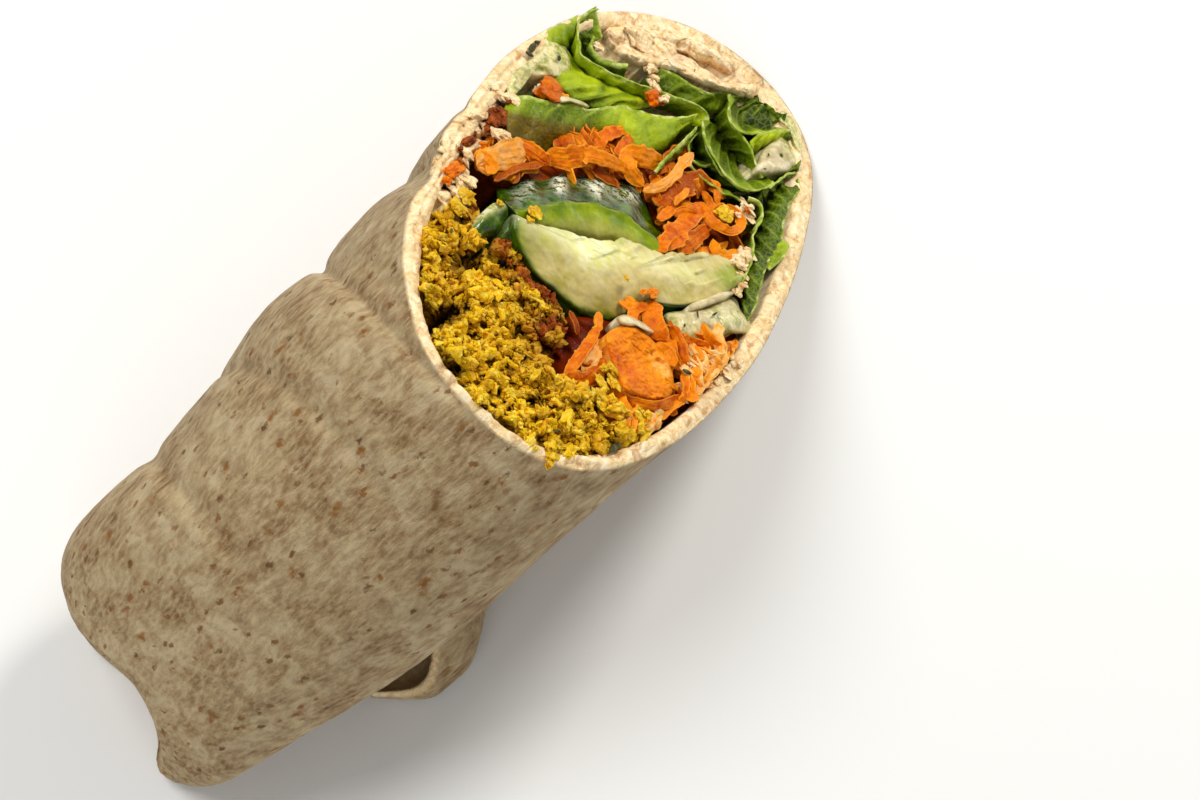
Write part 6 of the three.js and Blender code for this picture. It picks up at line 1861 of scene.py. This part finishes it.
def nugget(shape, across, down, out, size, seed, **marks):
    """One knobbly bit, its half sizes given across, down and out of the face."""
    turn = np.linspace(0, 2 * math.pi, BIT_ROUND, endpoint=False)
    rows = []
    for height in np.linspace(-0.98, 0.98, NUGGET_ROWS):
        ring = math.sqrt(1 - height ** 2)
        spot = np.stack([ring * np.cos(turn), ring * np.sin(turn), np.full(turn.shape, height)], -1)
        rough = (1 + 0.4 * waves(spot, 0.7, seed) + 0.35 * waves(spot, 0.33, seed + 1)
                 + 0.2 * waves(spot, 0.17, seed + 2))
        spot = spot * rough[:, None] * np.array(size)
        rows.append(at(across + spot[:, 0], down + spot[:, 1], out + spot[:, 2]))
    shape.grid(np.array(rows), **marks)


def flake(shape, across, down, out, size, seed, **marks):
    """One thin torn flake, curled a little, its half sizes given across, down and out of the face."""
    turn = np.linspace(0, 2 * math.pi, BIT_ROUND, endpoint=False)
    rim = np.stack([np.cos(turn), np.sin(turn), 0 * turn], -1)
    torn = 1 + 0.5 * waves(rim, 0.8, seed) + 0.35 * waves(rim, 0.35, seed + 1)
    share = np.linspace(0.06, 1, FLAKE_ROWS)[:, None]
    a = across + size[0] * share * torn * rim[:, 0]
    d = down + size[1] * share * torn * rim[:, 1]
    p = flat_point(a, d)
    curl = size[2] * (0.9 * waves(p, 1.3, seed + 2) + 0.5 * waves(p, 0.5, seed + 3) - 0.5 * share ** 3)
    top = at(a, d, out + curl)
    shape.grid(np.concatenate([top, top[::-1] - RISE * FLAKE_THICK]), **marks)


# Bits of falafel, each as (across, down, out, then half sizes across, down and out).
FALAFEL_STRAYS = [
    (9, -5.6, 2.8, 1.1, 1.2, 0.6), (8.4, -7.4, 2.6, 0.6, 0.6, 0.4), (-5, 2.6, 2.4, 0.5, 0.4, 0.3),
    (12.4, -10.6, 1.4, 0.5, 0.5, 0.5), (-15.6, -11.2, 1.8, 1.1, 0.8, 0.6), (-17.2, -12.8, 1.6, 1.3, 0.9, 0.6),
    (-16.2, -14.8, 1.5, 1.2, 0.8, 0.6), (-18.2, -16.6, 1.4, 1.3, 1, 0.7),
    (-19.6, -17.6, 1.4, 1, 0.8, 0.6), (-14.9, -12.6, 1.6, 0.6, 0.9, 0.5), (-17, -18.4, 1.4, 1, 0.8, 0.7),
    (-2.2, 30.4, 1.2, 1.2, 1.7, 0.5), (-21, -30.4, 0.5, 1.1, 1.1, 0.7), (-21.8, -31.5, 0.35, 1, 0.9, 0.6),
    (-22.5, -32.5, 0.1, 0.8, 0.8, 0.6), (-22.9, -33.3, -0.5, 0.5, 0.8, 0.5),
    (15.2, -15.6, 1, 1.4, 1.6, 0.8), (14.4, -18.4, 1, 1.5, 1.2, 0.8), (-11.8, -22.4, 1, 1, 0.8, 0.7),
]
# Bits of red brown crust, stuck to the tortilla, given the same way.
CRUST_STRAYS = [
    (24.9, 0.8, 0.5, 0.9, 1.3, 0.7), (23.8, -1.4, 0.6, 0.9, 1.1, 0.7), (24.4, -0.2, 0.3, 1.2, 1.4, 0.6),
    (23.2, -3.4, 0.4, 0.7, 1, 0.6), (26, 4.4, 0.3, 0.6, 1.2, 0.5), (22.6, -8.4, 0.5, 0.6, 1.4, 0.5),
    (21.8, -10.6, 0.4, 0.5, 1, 0.4), (20.2, -12.4, 0.4, 0.6, 0.8, 0.4),
]
stray_falafel = Shape()
for number, (across, down, out, *size) in enumerate(FALAFEL_STRAYS + CRUST_STRAYS):
    # Each bit gets a little painted hollow shade.
    nugget(stray_falafel, across, down, out, size, 400 + number * 3, hollow=0.12,
           crust=float(number >= len(FALAFEL_STRAYS)))
stray_falafel.piece("falafel_strays", falafel_finish, "falafel", flat=True)

# Loose carrot, each as (across, down, out, three half sizes, tone and shade, paleness at its edges).
CARROT_NUGGETS = [
    (25.1, 13.2, 0.6, 2, 2.4, 1.4, -0.25, 0), (23.4, 15, 0.5, 0.9, 1, 0.7, 0.6, 0.6),
    (19.4, -14.6, 0.9, 1, 1.9, 0.6, 0.1, 0.2), (18.4, -17, 0.8, 0.7, 1.1, 0.5, 0.2, 0.2),
    (-3.4, 35.6, 1.5, 0.6, 0.6, 0.4, -0.4, 0), (-8.3, 5.6, 1.3, 0.7, 1.1, 0.5, 0.3, 0.4),
    (-7.6, 4, 1.6, 0.5, 0.7, 0.4, 0.3, 0.4),
]
CARROT_FLAKES = [(18.6, 32.6, 1.4, 1.1, 2.0, 0.7, 0.0, 0.0), (18.0, 33.6, 1.0, 1.1, 1.8, 0.7, -0.3, 0.2)]
stray_carrot = Shape()
for number, (across, down, out, *size, tone, edge) in enumerate(CARROT_NUGGETS):
    nugget(stray_carrot, across, down, out, size, 470 + number * 3, tone=tone, edge=edge)
for number, (across, down, out, *size, tone, edge) in enumerate(CARROT_FLAKES):
    flake(stray_carrot, across, down, out, size, 491 + number * 4, tone=tone, edge=edge)
stray_carrot.piece("carrot_strays", carrot_finish, "carrot", flat=True)

# Torn flakes of tortilla, each as (across, down, out, then three half sizes).
SCRAPS = [
    (-3.2, 36.4, 1.1, 1.2, 0.9, 0.7), (-4.6, 35.4, 1, 0.9, 0.8, 0.6), (-2.8, 34.2, 1.1, 0.8, 1.1, 0.6),
    (-4.1, 33.6, 1.1, 0.9, 0.8, 0.6), (-9.6, 29.2, 1.6, 1.1, 1.2, 0.7), (-10.4, 26.8, 1.6, 1.3, 1.6, 0.7),
    (-9.6, 27.2, 1.5, 0.8, 1.1, 0.6), (-11.8, 25.2, 1.5, 0.9, 1, 0.6), (-13, 23.6, 1.5, 0.9, 1.1, 0.6),
    (-13.8, 22.2, 1.4, 0.7, 0.9, 0.5), (-22.9, 12.6, 0.6, 0.8, 1.2, 0.6), (-21.8, 7, 1.1, 0.9, 1.4, 0.6),
    (-23.3, 3.4, 0.9, 0.9, 1.2, 0.6), (-22.8, -0.4, 0.9, 0.8, 1.1, 0.6), (-24, -2.6, 0.7, 0.6, 0.9, 0.5),
    (-21.2, 9.8, 0.9, 0.7, 0.9, 0.5), (21, -1.4, 1.6, 1.2, 1.6, 0.7), (17.6, 35, 1.3, 0.6, 1.3, 0.5),
    (-23.6, 9, 0.7, 0.8, 1, 0.6), (-24.4, 0.8, 0.4, 0.7, 1.2, 0.5), (-21.6, 12.2, 0.7, 0.7, 0.8, 0.5),
    (-24.2, 5.6, 0.4, 0.6, 1, 0.5), (-20, 3.4, 1.5, 0.7, 0.9, 0.5), (25.6, -3.4, 0.5, 1, 2, 0.6),
    (18, -15.2, 0.8, 1.6, 1.4, 0.8), (15.8, -16.8, 0.8, 1.4, 1, 0.7), (17.2, -13.2, 0.6, 1.2, 1.2, 0.6),
    (20.9, -10.4, 0.8, 1.2, 0.9, 0.7), (25.6, 5.2, 0.8, 1.2, 1.3, 0.7), (27, 3.6, 0.8, 1, 0.9, 0.7),
    (26.4, 12.2, -0.2, 0.5, 1.5, 0.6), (20, 35.2, 0.8, 1.1, 0.7, 0.5), (23, 37, 0.9, 0.7, 1.4, 0.7),
    (29, 28.8, 1, 0.9, 0.9, 0.6), (21.4, 36.4, 0.6, 0.8, 0.9, 0.5),
]
scraps = Shape()
for number, (across, down, out, *size) in enumerate(SCRAPS):
    flake(scraps, across, down, out + 0.1, size, 500 + number * 4, cut=1.0)
    flake(scraps, across + 0.5 * size[0], down - 0.4 * size[1], out - 0.3, size, 502 + number * 4, cut=0.8)
scraps.piece("tortilla_scraps", tortilla_finish, "tortilla", flat=True)


def herb_material():
    material, shader, place = new_material("herb", 0.5, Specular_IOR_Level=0.2)
    colour = ramp(noise(place, 0.8, 3), (0.35, 34, 30, 12), (0.55, 70, 66, 26), (0.75, 104, 100, 50))
    finish_surface(shader, colour, noise(place, 0.3, 3), 0.08, 0.6)
    return material


HERB_SIZE = (14, 8)
HERB_THICK = 0.14
# Flecks of herb, each as (across, down, out, half length, half width, turn).
HERBS = [
    (-13.9, 11.2, 1.5, 0.8, 0.18, 0.7), (-15.1, 14.4, 1.6, 0.7, 0.16, 1.5), (-17.4, 13, 1.3, 0.4, 0.14, 2.2),
    (-14.6, 7.2, 1.3, 0.4, 0.16, 1.1), (-20.6, 1.6, 1.7, 0.8, 0.36, 2.3), (-21.2, 2.2, 1.6, 0.5, 0.3, 0.6),
    (32.4, 15.6, 1, 1.2, 0.5, 1.2), (31.6, 14.2, 1, 0.7, 0.4, 2.4), (33, 17.4, 0.8, 0.6, 0.3, 1.8),
    (-25.1, -20.2, 0.9, 1.5, 0.5, 1.5), (-16.6, -17.4, 2, 0.5, 0.24, 0.4),
    (11.4, -22.4, 1.9, 0.5, 0.22, 0.9), (-19.4, -28, 2.1, 0.6, 0.24, 2), (1, -24.6, 2.2, 0.4, 0.2, 0.5),
    (3.2, 48.6, 1.3, 0.3, 0.16, 0.4), (1.4, 45.6, 1.2, 0.3, 0.14, 1.9), (29.4, 19.4, 1.4, 0.6, 0.3, 1),
    (-8, 36.6, 1.6, 0.5, 0.2, 1),
]
herbs = Shape()
for across, down, out, length, width, turn in HERBS:
    along = np.linspace(-1, 1, 9)
    lines = []
    for share in (-1, -0.4, 0.4, 1):
        reach = width * share * np.sqrt(np.maximum(0.05, 1 - along ** 2))
        lines.append(list(zip(across + length * along * math.cos(turn) - reach * math.sin(turn),
                              down + length * along * math.sin(turn) + reach * math.cos(turn),
                              out + 0.12 * (1 - share ** 2) + 0 * along)))
    top = loft(lines, *HERB_SIZE)
    herbs.sheet(top, top - RISE * HERB_THICK)
herbs.piece("herbs", herb_material(), "sauce")
